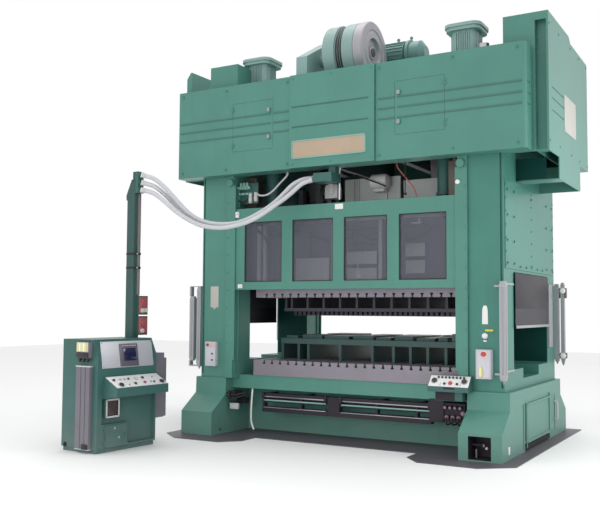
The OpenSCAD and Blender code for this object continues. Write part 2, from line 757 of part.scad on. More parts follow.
// Light curtains: bars on brackets at the four corners of the press.
module light_curtains() {
    y0 = -column_y;
    color(steel) {
        curtain_bar([column_out - 25, y0 - 150, 1110], [column_out + 65, y0 - 60, 2420]);
        for (z = [1150, 2370]) block([column_out - 120, y0 - 61, z], [column_out + 40, y0, z + 30]);
        for (z = [1180, 2405]) block([column_out, y0 - 61, z], [column_out + 14, -1000, z + 30]);
        curtain_bar([-column_out - 80, y0 - 50, 1130], [-column_out, y0 + 30, 2390]);
        curtain_bar([-column_out - 230, y0 - 50, 1200], [-column_out - 140, y0 + 30, 2230]);
        block([-column_out - 230, y0 - 50, 2419], [-column_out - 1, y0 + 30, 2432]);
        block([-column_out - 230, y0 - 50, 2259], [-column_out - 200, y0 + 30, 2420]);
        block([-column_out - 230, y0 - 50, 1080], [-column_out - 1, y0 + 30, 1101]);
        block([-column_out - 230, y0 - 50, 1100], [-column_out - 200, y0 + 30, 1171]);
        both_sides() {
            curtain_bar([column_out, column_y, 1230], [column_out + 80, column_y + 80, 2470]);
            curtain_bar([column_out + 110, column_y, 1210], [column_out + 170, column_y + 80, 2490]);
            for (z = [1300, 2380]) {
                block([column_out - 60, column_y + 20, z], [column_out + 111, column_y + 50, z + 40]);
                block([column_out - 60, column_y, z], [column_out - 20, column_y + 21, z + 40]);
            }
            block([column_out, 1000, 1450], [column_out + 30, 1230, 2480]);
        }
    }
}

// ---- On the bed ----

// Die rail: two ladder-like beams in the bed's front recess, joined by a plate.
rail_x = [[-1515, -300], [-90, 1435]];
rail_spacers = [-1495, -790, 545, 1200, 1415];

module die_rail() {
    color(dark_steel) {
        for (x = rail_x) {
            block([x[0], -1230, 600], [x[1], -1130, 675]);
            block([x[0], -1140, 550], [x[1], -1125, 601]);
            block([x[0], -1230, 370], [x[1], -1110, 455]);
            bar_x(x[0], x[1], 8, -1215, 535);
        }
        block([rail_x[0][1] - 1, -1225, 370], [rail_x[1][0] + 1, -1110, 670]);
        for (x = rail_spacers) {
            block([x - 20, -1225, 454], [x + 20, -1125, 601]);
            block([x - 20, -1131, 620], [x + 20, -790, 660]);
        }
    }
}

module hydraulic_units() {
    color(dark_steel) {
        block([1620, -1250, 420], [1960, -1080, 700]);
        for (i = [0:3]) bar_y(-1300, -1250, 22, 1680 + i * 75, 640);
        for (i = [0:2]) bar_y(-1290, -1250, 30, 1700 + i * 90, 500);
        block([1700, -1080, 500], [1900, -790, 600]);
        block([-foot_in, -1420, 570], [-foot_in + 130, -1180, 690]);
        for (i = [0:2]) bar_y(-1470, -1420, 15, -foot_in + 65, 595 + i * 35);
        block([-foot_in, -1160, 470], [-foot_in + 150, -1020, 560]);
    }
}

// Operator panel: a sloping button box on a bracket.
panel_x = [1560, 2160];
panel_profile = [[-1500, 900], [-1500, 1120], [-1550, 1120], [-1690, 970], [-1690, 900]];

module operator_panel() {
    color(dark_green) difference() {
        union() {
            along_x(panel_x[0], panel_x[1]) polygon(panel_profile);
            block([1640, -1600, 770], [2040, -bolster_d / 2 + 20, 901]);
        }
        for (x = panel_palms) on_panel(x) translate([0, 0, -30]) cylinder(r = 18, h = 40);
    }
}

panel_palms = [1640, 2080];

// Puts children on the sloping face of the operator panel, with +Z out of the face.
module on_panel(x) translate([x, -1620, 1045]) rotate([46.97, 0, 0]) children();

module palm_button() {
    translate([0, 0, -20]) cylinder(r = 17, h = 32);
    translate([0, 0, 12]) cylinder(r = 34, h = 16);
}

module panel_palm_left() color(black) on_panel(panel_palms[0]) palm_button();

module panel_palm_right() color(black) on_panel(panel_palms[1]) palm_button();

module stop_box() {
    color(light_grey) difference() {
        block([2225, -column_y - 110, 1095], [2440, -column_y, 1500]);
        bar_y(-column_y - 111, -column_y - 60, 18, 2345, 1440);
    }
}

module stop_mushroom() {
    color(red) {
        bar_y(-column_y - 130, -column_y - 80, 17, 2345, 1440);
        bar_y(-column_y - 155, -column_y - 130, 36, 2345, 1440);
    }
}

// ---- Console ----

console_at = [-2434, -4076];
console_turn = 86;

module at_console() translate([console_at.x, console_at.y, 0]) rotate([0, 0, console_turn]) children();

shelf_x = [120, 1150];
shelf_profile = [[1, 1075], [-270, 925], [-270, 800], [1, 760]];
shelf_slope = atan2(1075 - 925, 271);

// Puts children on the console's sloping shelf, y mm in front of the cabinet, with +Z out of the face.
module on_shelf(x, y) translate([x, -y, 1075 - y * tan(shelf_slope)]) rotate([shelf_slope, 0, 0]) children();

console_palms = [[250, 215], [1060, 215]];
front_x = [90, 1140];
window_x = [160, 430];
hatch_x = [150, 570];
hatch_z = [60, 380];
hatch_hinge_z = [120, 300];

module console_cabinet() {
    color(dark_green) at_console() difference() {
        union() {
            along_x(0, console_w) polygon([[0, 60], [console_d, 60], [console_d, console_h], [110, console_h],
                [0, 1360]]);
            block([20, 20, 0], [console_w - 20, console_d - 20, 61]);
            along_x(shelf_x[0], shelf_x[1]) polygon(shelf_profile);
        }
        along_x(60, 1130) polygon([[-1, 1180], [0, 1180], [66, 1590], [66, console_h - 10], [-1,
            console_h - 10]]);
        difference() {
            block([front_x[0], -1, 90], [front_x[1], 60, 760]);
            block([front_x[0] - 1, -2, 80], [hatch_x[1] + 30, 61, hatch_z[1] + 20]);
            block([window_x[0], -2, 480], [window_x[1], 61, 761]);
        }
        block([window_x[0] + 20, -1, 500], [window_x[1] - 20, 250, 735]);
        block([hatch_x[0] + 20, -1, hatch_z[0] + 30], [hatch_x[1] - 20, 250, hatch_z[1] - 20]);
        for (p = console_palms) on_shelf(p.x, p.y) translate([0, 0, -40]) cylinder(r = 18, h = 60);
    }
    color(dark_green) at_console() for (z = hatch_hinge_z, k = [-31, 31]) {
        bar_z(z + k, z + k + 30, hinge_r, hatch_x[0] - 6, -9);
        block([hatch_x[0] - 30, -9, z + k], [hatch_x[0] - 6, 1, z + k + 30]);
    }
}

module console_door() {
    color(dark_green) at_console() {
        block([hatch_x[0] + 4, -16, hatch_z[0] + 10], [hatch_x[1], -1, hatch_z[1]]);
        for (z = hatch_hinge_z) {
            bar_z(z, z + 30, hinge_r, hatch_x[0] - 6, -9);
            block([hatch_x[0] - 6, -16, z], [hatch_x[0] + 25, -2, z + 30]);
        }
        block([hatch_x[1] - 60, -34, 200], [hatch_x[1] - 30, -15, 250]);
    }
}

module console_palm_left() color(black) at_console() on_shelf(console_palms[0].x,
    console_palms[0].y) palm_button();

module console_palm_right() color(black) at_console() on_shelf(console_palms[1].x,
    console_palms[1].y) palm_button();

// Boxes and trunking on the console's two ends.
module console_side_box() {
    color(light_grey) at_console() {
        block([console_w, 20, 390], [console_w + 190, 190, 1370]);
        block([console_w + 189, 20, 400], [console_w + 240, 190, 1290]);
        difference() {
            block([-60, 100, 60], [0, 380, 1220]);
            for (y = [180, 270]) block([-61, y, 59], [-50, y + 12, 1221]);
        }
        block([-70, 110, 1340], [0, 370, 1560]);
    }
}

mast_at = [1021, 388];

module console_mast() {
    color(dark_green) at_console() {
        along_x(mast_at.x - 65, mast_at.x + 60) translate([mast_at.y, 0])
            polygon([[-75, console_h], [80, console_h], [80, 3830], [-10, 4020], [-75, 4020]]);
        block([mast_at.x - 40, mast_at.y - 75, 4019], [mast_at.x + 60, mast_at.y - 5, mast_top]);
        along_x(mast_at.x - 60, mast_at.x - 30) translate([mast_at.y, 0])
            polygon([[79, 3700], [110, 3740], [110, 3800], [0, 4040], [-20, 4010], [79, 3800]]);
        for (z = [1640, 1950]) block([mast_at.x, mast_at.y - 120, z], [mast_at.x + 210, mast_at.y - 74,
            z + 290]);
    }
}

// ---- Conduits ----

conduit_r = 36;
// Routes as [X, Y, Z] points from the mast to the elbow under the crown.
route_1 = [[-2600, -3055, 4110], [-2450, -2935, 4055], [-2330, -2845, 3940], [-2225, -2770, 3805],
    [-2120, -2700, 3665], [-2010, -2630, 3535], [-1880, -2540, 3430], [-1730, -2445, 3375],
    [-1575, -2340, 3360], [-1415, -2240, 3375], [-1265, -2140, 3430], [-1125, -2050, 3515],
    [-995, -1960, 3615], [-870, -1885, 3730], [-755, -1815, 3865], [-645, -1745, 3995],
    [-500, -1660, 4080], [-340, -1575, 4100]];
route_2 = [[-2600, -3055, 3990], [-2465, -2915, 3940], [-2365, -2795, 3835], [-2270, -2695, 3705],
    [-2160, -2610, 3580], [-2035, -2530, 3465], [-1895, -2435, 3380], [-1740, -2335, 3345],
    [-1585, -2230, 3345], [-1430, -2130, 3375], [-1285, -2035, 3440], [-1145, -1940, 3525],
    [-1015, -1860, 3630], [-885, -1780, 3740], [-760, -1705, 3860], [-640, -1635, 3985],
    [-500, -1550, 4080], [-340, -1470, 4105]];
route_3 = [[-2600, -3055, 3875], [-2445, -2960, 3830], [-2310, -2900, 3730], [-2190, -2845, 3615],
    [-2070, -2775, 3505], [-1940, -2695, 3410], [-1805, -2605, 3335], [-1660, -2510, 3300],
    [-1510, -2410, 3295], [-1365, -2315, 3325], [-1220, -2220, 3375], [-1085, -2130, 3450],
    [-960, -2050, 3545], [-840, -1970, 3650], [-715, -1895, 3755], [-600, -1825, 3870],
    [-485, -1755, 3990], [-340, -1680, 4060]];

function unit(v) = v / norm(v);
// Ring of points round a route's point p, square to direction t.
function ring(p, t, r, n) = let (side = unit(cross([0, 0, 1], t)), up = cross(t, side))
    [for (i = [0:n - 1]) p + r * (cos(360 * i / n) * side + sin(360 * i / n) * up)];
function heading(route, i) = unit(route[min(i + 1, len(route) - 1)] - route[max(i - 1, 0)]);

// A closed tube swept along a route, with flat end faces square to X.
module tube(route, r, n = 10) {
    last = len(route) - 1;
    points = [for (i = [0:last]) each ring(route[i], i == 0 || i == last ? [1, 0, 0] : heading(route, i),
        r, n)];
    sides = [for (i = [0:last - 1], k = [0:n - 1]) let (k2 = (k + 1) % n)
        each [[i * n + k, i * n + k2, (i + 1) * n + k2], [i * n + k, (i + 1) * n + k2, (i + 1) * n + k]]];
    ends = [[for (k = [n - 1:-1:0]) k], [for (k = [0:n - 1]) last * n + k]];
    polyhedron(points, [for (f = concat(sides, ends)) [for (k = [len(f) - 1:-1:0]) f[k]]]);
}

module conduit_1() color(light_grey) tube(route_1, conduit_r);

module conduit_2() color(light_grey) tube(route_2, conduit_r);

module conduit_3() color(light_grey) tube(route_3, conduit_r);

// Glands on the mast and the elbow under the crown that the conduits run between.
module conduit_fittings() {
    color(dark_green) {
        at_console() block([mast_at.x - 62, mast_at.y - 135, 3825], [mast_at.x + 58, mast_at.y - 75,
            mast_top - 3]);
        for (p = [route_1[0], route_2[0], route_3[0]]) bar_x(-2641, -2600, 42, p.y, p.z);
        block([-300, -1725, 4012], [20, -1425, 4150]);
        block([-90, -1600, 4149], [20, -1480, crown_base]);
        for (p = [route_1[17], route_2[17], route_3[17]]) bar_x(-340, -299, 42, p.y, p.z);
    }
}

floor_pan();
bed();
bolster();
upright_left();
upright_right();
crown_frame();
crown_cover_left();
crown_cover_center();
crown_cover_right();
crown_cover_rear();
crown_door_left();
crown_door_right();
end_hood_left();
end_hood_right();
tie_rods();
roof_vents();
bearing_walls();
gear_hood();
gibs();
counterbalance_cylinders();
counterbalance_rods();
crankshaft();
main_gear();
connections();
idler_gears();
drive_shaft();
clutch_brake();
flywheel();
motor();
motor_pulley();
drive_belts();
slide();
slide_plate();
upper_die();
lower_die();
front_guard();
front_guard_panes();
rear_guard();
rear_guard_panes();
guard_rails();
side_guard_left();
side_guard_right();
light_curtains();
die_rail();
hydraulic_units();
operator_panel();
panel_palm_left();
panel_palm_right();
stop_box();
stop_mushroom();
console_cabinet();
console_door();
console_palm_left();
console_palm_right();
console_side_box();
console_mast();
conduit_fittings();
conduit_1();
conduit_2();
conduit_3();
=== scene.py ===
"""Looks of the straight-side stamping press and its console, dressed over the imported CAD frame."""
import math

import bmesh
import bpy
import numpy as np
from mathutils import Matrix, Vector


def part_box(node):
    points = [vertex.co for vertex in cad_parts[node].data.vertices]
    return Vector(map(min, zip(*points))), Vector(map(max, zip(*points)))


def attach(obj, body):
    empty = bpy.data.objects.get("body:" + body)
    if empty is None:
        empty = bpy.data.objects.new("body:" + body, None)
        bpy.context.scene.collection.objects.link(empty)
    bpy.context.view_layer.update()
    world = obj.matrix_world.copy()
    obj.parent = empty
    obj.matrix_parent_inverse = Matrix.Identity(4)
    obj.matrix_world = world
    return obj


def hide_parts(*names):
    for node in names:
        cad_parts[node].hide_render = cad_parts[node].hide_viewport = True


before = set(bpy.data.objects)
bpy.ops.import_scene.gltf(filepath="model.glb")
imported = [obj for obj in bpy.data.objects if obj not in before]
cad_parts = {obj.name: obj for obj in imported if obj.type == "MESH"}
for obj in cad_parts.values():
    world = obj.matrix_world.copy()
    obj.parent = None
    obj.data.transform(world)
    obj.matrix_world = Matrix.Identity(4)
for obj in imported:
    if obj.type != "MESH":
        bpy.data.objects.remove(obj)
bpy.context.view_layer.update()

FRONT, REAR, RIGHT, LEFT, UP, DOWN = (0, -1, 0), (0, 1, 0), (1, 0, 0), (-1, 0, 0), (0, 0, 1), (0, 0, -1)
SIDES = (1, -1)


# ---- Camera ----

LENS_MM = 49.729
LENS_SHIFT = (-0.01565, 0.00873)
CAMERA_AT = (5.94882, -12.80289, 2.03634)
CAMERA_YAW, CAMERA_PITCH, CAMERA_ROLL = math.radians(29.6496), math.radians(90 + 3.5089), 0.005585


def rotation_x(a):
    """Turn about X by a: Y goes towards Z."""
    return np.array([[1, 0, 0], [0, math.cos(a), -math.sin(a)], [0, math.sin(a), math.cos(a)]])


def rotation_z(a):
    """Turn about Z by a: X goes towards Y."""
    return np.array([[math.cos(a), -math.sin(a), 0], [math.sin(a), math.cos(a), 0], [0, 0, 1]])


def place_camera():
    """A level-headed camera in front of the press's right corner, with the lens shift that the framing needs."""
    lens = bpy.data.cameras.new("camera")
    lens.lens = LENS_MM
    lens.sensor_width = 36.0
    lens.shift_x, lens.shift_y = LENS_SHIFT
    lens.clip_end = 200.0
    camera = bpy.data.objects.new("camera", lens)
    turn = rotation_z(CAMERA_YAW) @ rotation_x(CAMERA_PITCH) @ rotation_z(CAMERA_ROLL)
    camera.matrix_world = Matrix.LocRotScale(CAMERA_AT, Matrix(turn.tolist()), None)
    bpy.context.scene.collection.objects.link(camera)
    bpy.context.scene.camera = camera


place_camera()


# ---- Shapes: pairs of points and faces, worked out as whole arrays ----

WELD = 2e-6


def unit(v):
    """Each vector over its own length."""
    v = np.asarray(v, float)
    return v / np.linalg.norm(v, axis=-1, keepdims=True)


def grid_shape(points, caps=True):
    """A skin over an m by n grid of points: quads between neighbours, the last column joined to the first, and the
    first and last rows each closed by one face."""
    m, n = points.shape[:2]
    i, j = np.meshgrid(np.arange(m - 1), np.arange(n), indexing="ij")
    k = (j + 1) % n
    quads = np.stack([i * n + j, i * n + k, (i + 1) * n + k, (i + 1) * n + j], -1).reshape(-1, 4).tolist()
    if caps:
        quads += [list(range(n - 1, -1, -1)), list(range((m - 1) * n, m * n))]
    return points.reshape(-1, 3), quads


def joined(shapes):
    """Several shapes as one: the faces of each are counted on from the points before it."""
    shapes = list(shapes)
    starts = np.cumsum([0] + [len(p) for p, f in shapes])
    faces = [[int(s) + a for a in face] for s, (p, f) in zip(starts, shapes) for face in f]
    return np.concatenate([p for p, f in shapes]), faces


def moved(shape, to=(0, 0, 0), turn=None):
    """The shape turned by a matrix about the origin and then shifted."""
    points, faces = shape
    return (points if turn is None else points @ np.asarray(turn).T) + np.asarray(to, float), faces


def facing(normal):
    """Matrix whose third column is the normal, its second the part of +Z square to it (of +Y, where the normal itself
    is upright), and its first square to both."""
    z = unit(normal)
    up = np.array([0.0, 1.0, 0.0] if abs(z[2]) > 0.99 else [0.0, 0.0, 1.0])
    x = unit(np.cross(up, z))
    return np.stack([x, np.cross(z, x), z], 1)


def ring(r, n=24):
    """n points on a circle of radius r, anticlockwise."""
    a = np.arange(n) * 2 * math.pi / n
    return np.stack([r * np.cos(a), r * np.sin(a)], 1)


def rounded(w, h, r, n):
    """Outline of a w by h rectangle about the origin whose corners are quarter circles of radius r, n steps each."""
    a = np.linspace(0, math.pi / 2, n + 1)
    corner = np.stack([r * np.cos(a), r * np.sin(a)], 1)
    swapped = corner[:, ::-1]
    centre = np.array([w / 2 - r, h / 2 - r])
    return np.concatenate([corner + centre, (swapped + centre) * [-1, 1], -corner - centre,
                           (swapped + centre) * [1, -1]])


def inset(outline, d):
    """The outline moved inwards by d: each corner slides along the sum of its two edges' inward normals, over one plus
    their cosine."""
    before, after = outline - np.roll(outline, 1, 0), np.roll(outline, -1, 0) - outline
    a, b = unit(before)[:, ::-1] * [-1, 1], unit(after)[:, ::-1] * [-1, 1]
    return outline + d * (a + b) / (1 + (a * b).sum(1, keepdims=True))


def slab(outline, z0, z1, r=0.0, steps=3, both=True):
    """An outline raised from z0 to z1 with its rims rolled over by radius r: at each step of angle t the row lies
    r(1 - cos t) in from the outline and r(1 - sin t) short of the face."""
    rows = [(0, z0), (0, z1)]
    if r > 0:
        t = np.linspace(0, math.pi / 2, steps + 1)
        top = [(r * (1 - math.cos(a)), z1 - r * (1 - math.sin(a))) for a in t]
        low = [(r * (1 - math.cos(a)), z0 + r * (1 - math.sin(a))) for a in t[::-1]] if both else [(0, z0)]
        rows = low + top
    return grid_shape(np.stack([np.column_stack([inset(outline, d) if d else outline, np.full(len(outline), z)])
                                for d, z in rows]))


def box(a, b, r=0.004, steps=2):
    """A box between two opposite corners with every edge rolled by r, as a rounded rectangle raised along its
    shortest side."""
    low, high = np.minimum(a, b), np.maximum(a, b)
    size = high - low
    axis = int(np.argmin(size))
    u, v = [k for k in (0, 1, 2) if k != axis]
    if axis == 1:
        u, v = v, u
    r = min(r, 0.45 * size.min())
    points, faces = slab(rounded(size[u], size[v], r, 2), -size[axis] / 2, size[axis] / 2, r, steps)
    out = np.empty_like(points)
    out[:, u], out[:, v], out[:, axis] = points[:, 0], points[:, 1], points[:, 2]
    return out + (low + high) / 2, faces


def turned(profile, centre=(0, 0, 0), axis=UP, n=32):
    """A profile of (radius, height) points carried round an axis through the centre; end radii of 0 close the shape,
    and so does a profile that ends where it starts."""
    profile = np.asarray(profile, float)
    flat = profile[:, 0, None, None] * ring(1.0, n)[None]
    points = np.concatenate([flat, np.broadcast_to(profile[:, 1, None, None], (len(profile), n, 1))], 2)
    open_ends = (profile[0, 0] > 0 or profile[-1, 0] > 0) and not np.allclose(profile[0], profile[-1])
    return moved(grid_shape(points, caps=open_ends), centre, facing(axis))


def boss(rims, top, centre=(0, 0, 0), axis=UP, n=32):
    """A round body on a flat foot: straight up to the first of its (radius, height) rims, through the others, and
    closed at height top."""
    return turned([(0, 0), (rims[0][0], 0), *rims, (0, top)], centre, axis, n)


def swept(outline, path, up=UP, scale=None):
    """An outline carried along a path: at each point it lies square to the line from the point before to the point
    after, its second axis nearest to up."""
    along = unit(np.gradient(path, axis=0))
    side = unit(np.cross(along, np.broadcast_to(up, along.shape)))
    top = np.cross(side, along)
    size = np.ones(len(path)) if scale is None else scale
    across = outline[None, :, :1] * side[:, None] + outline[None, :, 1:] * top[:, None]
    return grid_shape((path[:, None] + size[:, None, None] * across)[:, ::-1])


def smooth_path(points, per_piece):
    """Catmull-Rom curve through the points: on each piece the weights of its four neighbours are cubic in t."""
    p = np.asarray(points, float)
    p = np.concatenate([2 * p[:1] - p[1:2], p, 2 * p[-1:] - p[-2:-1]])
    t = np.linspace(0, 1, per_piece, endpoint=False)[None, :, None]
    a, b, c, d = (p[k:len(p) - 3 + k, None] for k in range(4))
    curve = 0.5 * (2 * b + (c - a) * t + (2 * a - 5 * b + 4 * c - d) * t ** 2 + (3 * b - a - 3 * c + d) * t ** 3)
    return np.concatenate([curve.reshape(-1, 3), p[-2:-1]])


def piece(name, shapes, material, body="press", slot=None, smooth=35):
    """Puts a shape, or a list of them as one, into the scene as an object at the origin, riding on a body: points that
    coincide become one, so that seams and poles are closed, and faces that meet under the given angle are smooth."""
    points, faces = joined(shapes) if isinstance(shapes, list) else shapes
    mesh = bpy.data.meshes.new(name)
    mesh.from_pydata(np.asarray(points).tolist(), [], faces)
    weld = bmesh.new()
    weld.from_mesh(mesh)
    bmesh.ops.remove_doubles(weld, verts=weld.verts, dist=WELD)
    weld.to_mesh(mesh)
    weld.free()
    mesh.shade_smooth()
    mesh.set_sharp_from_angle(angle=math.radians(smooth))
    mesh.materials.append(material)
    thing = bpy.data.objects.new(name, mesh)
    bpy.context.scene.collection.objects.link(thing)
    slot = slot or SLOT_OF[material.name]
    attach(thing, body)
    return thing


# ---- Shader groups ----

def node_group(name, inputs, outputs):
    """An empty shader group with float, colour or vector sockets; inputs give name, kind and default."""
    group = bpy.data.node_groups.new(name, "ShaderNodeTree")
    kinds = {"value": "NodeSocketFloat", "colour": "NodeSocketColor", "vector": "NodeSocketVector"}
    for label, kind, default in inputs:
        socket = group.interface.new_socket(label, in_out="INPUT", socket_type=kinds[kind])
        if default is not None:
            socket.default_value = default
    for label, kind in outputs:
        group.interface.new_socket(label, in_out="OUTPUT", socket_type=kinds[kind])
    return group, group.nodes.new("NodeGroupInput"), group.nodes.new("NodeGroupOutput")


class Wiring:
    """Short calls that add nodes to a tree and join them."""

    def __init__(self, tree):
        self.tree = tree

    def add(self, kind, **settings):
        node = self.tree.nodes.new(kind)
        for key, value in settings.items():
            setattr(node, key, value)
        return node

    def put(self, value, socket):
        if isinstance(value, bpy.types.NodeSocket):
            self.tree.links.new(value, socket)
        else:
            socket.default_value = value

    def math(self, how, a, b=0.0, clamp=False):
        node = self.add("ShaderNodeMath", operation=how, use_clamp=clamp)
        self.put(a, node.inputs[0])
        self.put(b, node.inputs[1])
        return node.outputs[0]

    def mix(self, amount, a, b):
        node = self.add("ShaderNodeMix", data_type="RGBA")
        self.put(amount, node.inputs[0])
        self.put(a, node.inputs[6])
        self.put(b, node.inputs[7])
        return node.outputs[2]

    def band(self, value, low, high):
        node = self.add("ShaderNodeMapRange", interpolation_type="SMOOTHSTEP")
        for socket, v in zip(node.inputs, (value, low, high)):
            self.put(v, socket)
        return node.outputs[0]

    def place(self, scale=(1, 1, 1), turn=(0, 0, 0)):
        where = self.add("ShaderNodeTexCoord").outputs["Object"]
        mapping = self.add("ShaderNodeMapping")
        mapping.inputs["Scale"].default_value = scale
        mapping.inputs["Rotation"].default_value = turn
        self.tree.links.new(where, mapping.inputs["Vector"])
        return mapping.outputs[0]

    def noise(self, vector, scale, detail=3.0, rough=0.5):
        node = self.add("ShaderNodeTexNoise")
        self.put(vector, node.inputs["Vector"])
        self.put(scale, node.inputs["Scale"])
        self.put(detail, node.inputs["Detail"])
        self.put(rough, node.inputs["Roughness"])
        return node.outputs["Fac"]


def wear_group():
    """Masks of a used painted or machined surface: edges where the bevelled normal leans away from the true one,
    broken up by noise; slow mottle; and dust that thins out above the floor."""
    group, ins, outs = node_group(
        "surface_wear",
        [("Edge width", "value", 0.006), ("Edge amount", "value", 0.5), ("Dust height", "value", 1.2)],
        [("Edges", "value"), ("Mottle", "value"), ("Dust", "value"), ("Streaks", "value"), ("Normal", "vector")])
    w = Wiring(group)
    bevel = w.add("ShaderNodeBevel", samples=4)
    w.put(ins.outputs["Edge width"], bevel.inputs["Radius"])
    true = w.add("ShaderNodeNewGeometry")
    lean = w.add("ShaderNodeVectorMath", operation="DOT_PRODUCT")
    w.put(bevel.outputs[0], lean.inputs[0])
    w.put(true.outputs["Normal"], lean.inputs[1])
    edge = w.band(w.math("SUBTRACT", 1.0, lean.outputs["Value"]), 0.02, 0.28)
    broken = w.band(w.noise(w.place(), 9.0, 6.0, 0.65), 0.42, 0.66)
    w.put(w.math("MULTIPLY", w.math("MULTIPLY", edge, broken), ins.outputs["Edge amount"], True), outs.inputs["Edges"])
    w.put(w.noise(w.place(), 1.1, 4.0, 0.55), outs.inputs["Mottle"])
    height = w.add("ShaderNodeSeparateXYZ")
    w.put(w.add("ShaderNodeTexCoord").outputs["Object"], height.inputs[0])
    low = w.math("SUBTRACT", 1.0, w.math("DIVIDE", height.outputs[2], ins.outputs["Dust height"]), True)
    w.put(w.math("MULTIPLY", w.math("MULTIPLY", low, low), w.noise(w.place(), 3.0, 5.0, 0.6), True),
          outs.inputs["Dust"])
    w.put(w.band(w.noise(w.place((7, 7, 0.5)), 1.6, 3.0, 0.5), 0.5, 0.75), outs.inputs["Streaks"])
    w.put(bevel.outputs[0], outs.inputs["Normal"])
    return group


def grain_group():
    """Fine height patterns: an orange-peel ripple for enamel and long parallel cutter marks for machined metal."""
    group, ins, outs = node_group(
        "fine_grain", [("Marks along", "vector", (1.0, 60.0, 60.0))],
        [("Peel", "value"), ("Marks", "value"), ("Speckle", "value")])
    w = Wiring(group)
    where = w.add("ShaderNodeTexCoord").outputs["Object"]
    w.put(w.noise(where, 85.0, 2.0, 0.4), outs.inputs["Peel"])
    stretch = w.add("ShaderNodeVectorMath", operation="MULTIPLY")
    w.put(where, stretch.inputs[0])
    w.put(ins.outputs["Marks along"], stretch.inputs[1])
    w.put(w.noise(stretch.outputs[0], 4.0, 3.0, 0.6), outs.inputs["Marks"])
    w.put(w.noise(where, 260.0, 2.0, 0.7), outs.inputs["Speckle"])
    return group


WEAR, GRAIN = wear_group(), grain_group()


def new_material(name):
    """A material with one Principled shader; returns it with its wiring and its shader's inputs."""
    material = bpy.data.materials.new(name)
    material.use_nodes = True
    shader = next(n for n in material.node_tree.nodes if n.type == "BSDF_PRINCIPLED")
    return material, Wiring(material.node_tree), shader.inputs


def use_group(w, group, **values):
    """Places a shader group and sets its named inputs, an underscore standing for a space."""
    node = w.add("ShaderNodeGroup", node_tree=group)
    for key, value in values.items():
        w.put(value, node.inputs[key.replace("_", " ")])
    return node.outputs


def bump(w, height, strength, distance, normal):
    """Turns a height into a normal."""
    node = w.add("ShaderNodeBump")
    for label, value in (("Strength", strength), ("Distance", distance), ("Height", height), ("Normal", normal)):
        w.put(value, node.inputs[label])
    return node.outputs[0]


def tint(colour, k=1.0, lift=0.0):
    """An opaque colour whose parts are k times those given, plus lift, and 1 at most."""
    return (*[min(1, k * c + lift) for c in colour], 1.0)


FLOOR_DUST = (0.34, 0.34, 0.32)


def enamel(name, colour, worn, rough=0.42, edge=0.006, dust_amount=0.35, shine=0.5):
    """Machinery enamel: slow mottle in tone, lighter rubbed edges, streaks and floor dust, and a fine ripple."""
    m, w, s = new_material(name)
    wear = use_group(w, WEAR, Edge_width=edge, Edge_amount=0.55)
    grain = use_group(w, GRAIN)
    tone = w.mix(w.band(wear["Mottle"], 0.3, 0.7), tint(colour, 0.94), tint(colour, 1.05))
    tone = w.mix(w.math("MULTIPLY", wear["Streaks"], 0.1), tone, tint(colour, 0.6))
    tone = w.mix(w.math("MULTIPLY", wear["Dust"], dust_amount), tone, tint(FLOOR_DUST))
    w.put(w.mix(wear["Edges"], tone, tint(worn)), s["Base Color"])
    uneven = w.math("MULTIPLY", wear["Mottle"], 0.16)
    w.put(w.math("ADD", uneven, w.math("ADD", w.math("MULTIPLY", wear["Dust"], 0.3), rough - 0.08)), s["Roughness"])
    w.put(bump(w, grain["Peel"], 0.12, 0.0006, wear["Normal"]), s["Normal"])
    s["Specular IOR Level"].default_value = shine
    s["Coat Weight"].default_value = 0.3 * shine
    s["Coat Roughness"].default_value = 0.25
    return m


def bare_metal(name, colour, rough=0.34, along=(1.0, 60.0, 60.0), metallic=0.9, stain=(0.2, 0.17, 0.15),
               stain_amount=0.35):
    """Machined metal: cutter marks along one axis, oil stains in slow patches and bright rubbed edges."""
    m, w, s = new_material(name)
    wear = use_group(w, WEAR, Edge_width=0.003, Edge_amount=0.6)
    grain = use_group(w, GRAIN, Marks_along=along)
    tone = w.mix(grain["Marks"], tint(colour, 0.86), tint(colour, 1.12))
    tone = w.mix(w.math("MULTIPLY", w.band(wear["Mottle"], 0.48, 0.72), stain_amount), tone, tint(stain))
    w.put(w.mix(wear["Edges"], tone, tint(colour, 1.3)), s["Base Color"])
    w.put(w.math("ADD", w.math("MULTIPLY", grain["Marks"], 0.18), rough - 0.09), s["Roughness"])
    w.put(bump(w, grain["Marks"], 0.25, 0.0004, wear["Normal"]), s["Normal"])
    s["Metallic"].default_value = metallic
    return m


def moulded(name, colour, rough=0.4, speckle=0.15, coat=0.0):
    """Moulded plastic or rubber: a fine speckled skin, slightly darker in patches."""
    m, w, s = new_material(name)
    wear = use_group(w, WEAR, Edge_width=0.002, Edge_amount=0.3)
    grain = use_group(w, GRAIN)
    tone = w.mix(wear["Mottle"], tint(colour, 0.88), tint(colour, 1.1))
    w.put(w.mix(wear["Edges"], tone, tint(colour, 1.25, 0.02)), s["Base Color"])
    w.put(w.math("ADD", w.math("MULTIPLY", grain["Speckle"], 0.12), rough - 0.06), s["Roughness"])
    w.put(bump(w, grain["Speckle"], speckle, 0.0003, wear["Normal"]), s["Normal"])
    s["Coat Weight"].default_value = coat
    return m


def clear_pane(name, colour, alpha):
    """Smoked see-through sheet: partly transparent, with faint scratches."""
    m, w, s = new_material(name)
    grain = use_group(w, GRAIN, Marks_along=(8.0, 8.0, 1.0))
    w.put(tint(colour), s["Base Color"])
    w.put(w.math("ADD", w.math("MULTIPLY", w.band(grain["Marks"], 0.55, 0.75), 0.08), alpha), s["Alpha"])
    w.put(w.math("ADD", w.math("MULTIPLY", grain["Marks"], 0.1), 0.12), s["Roughness"])
    return m


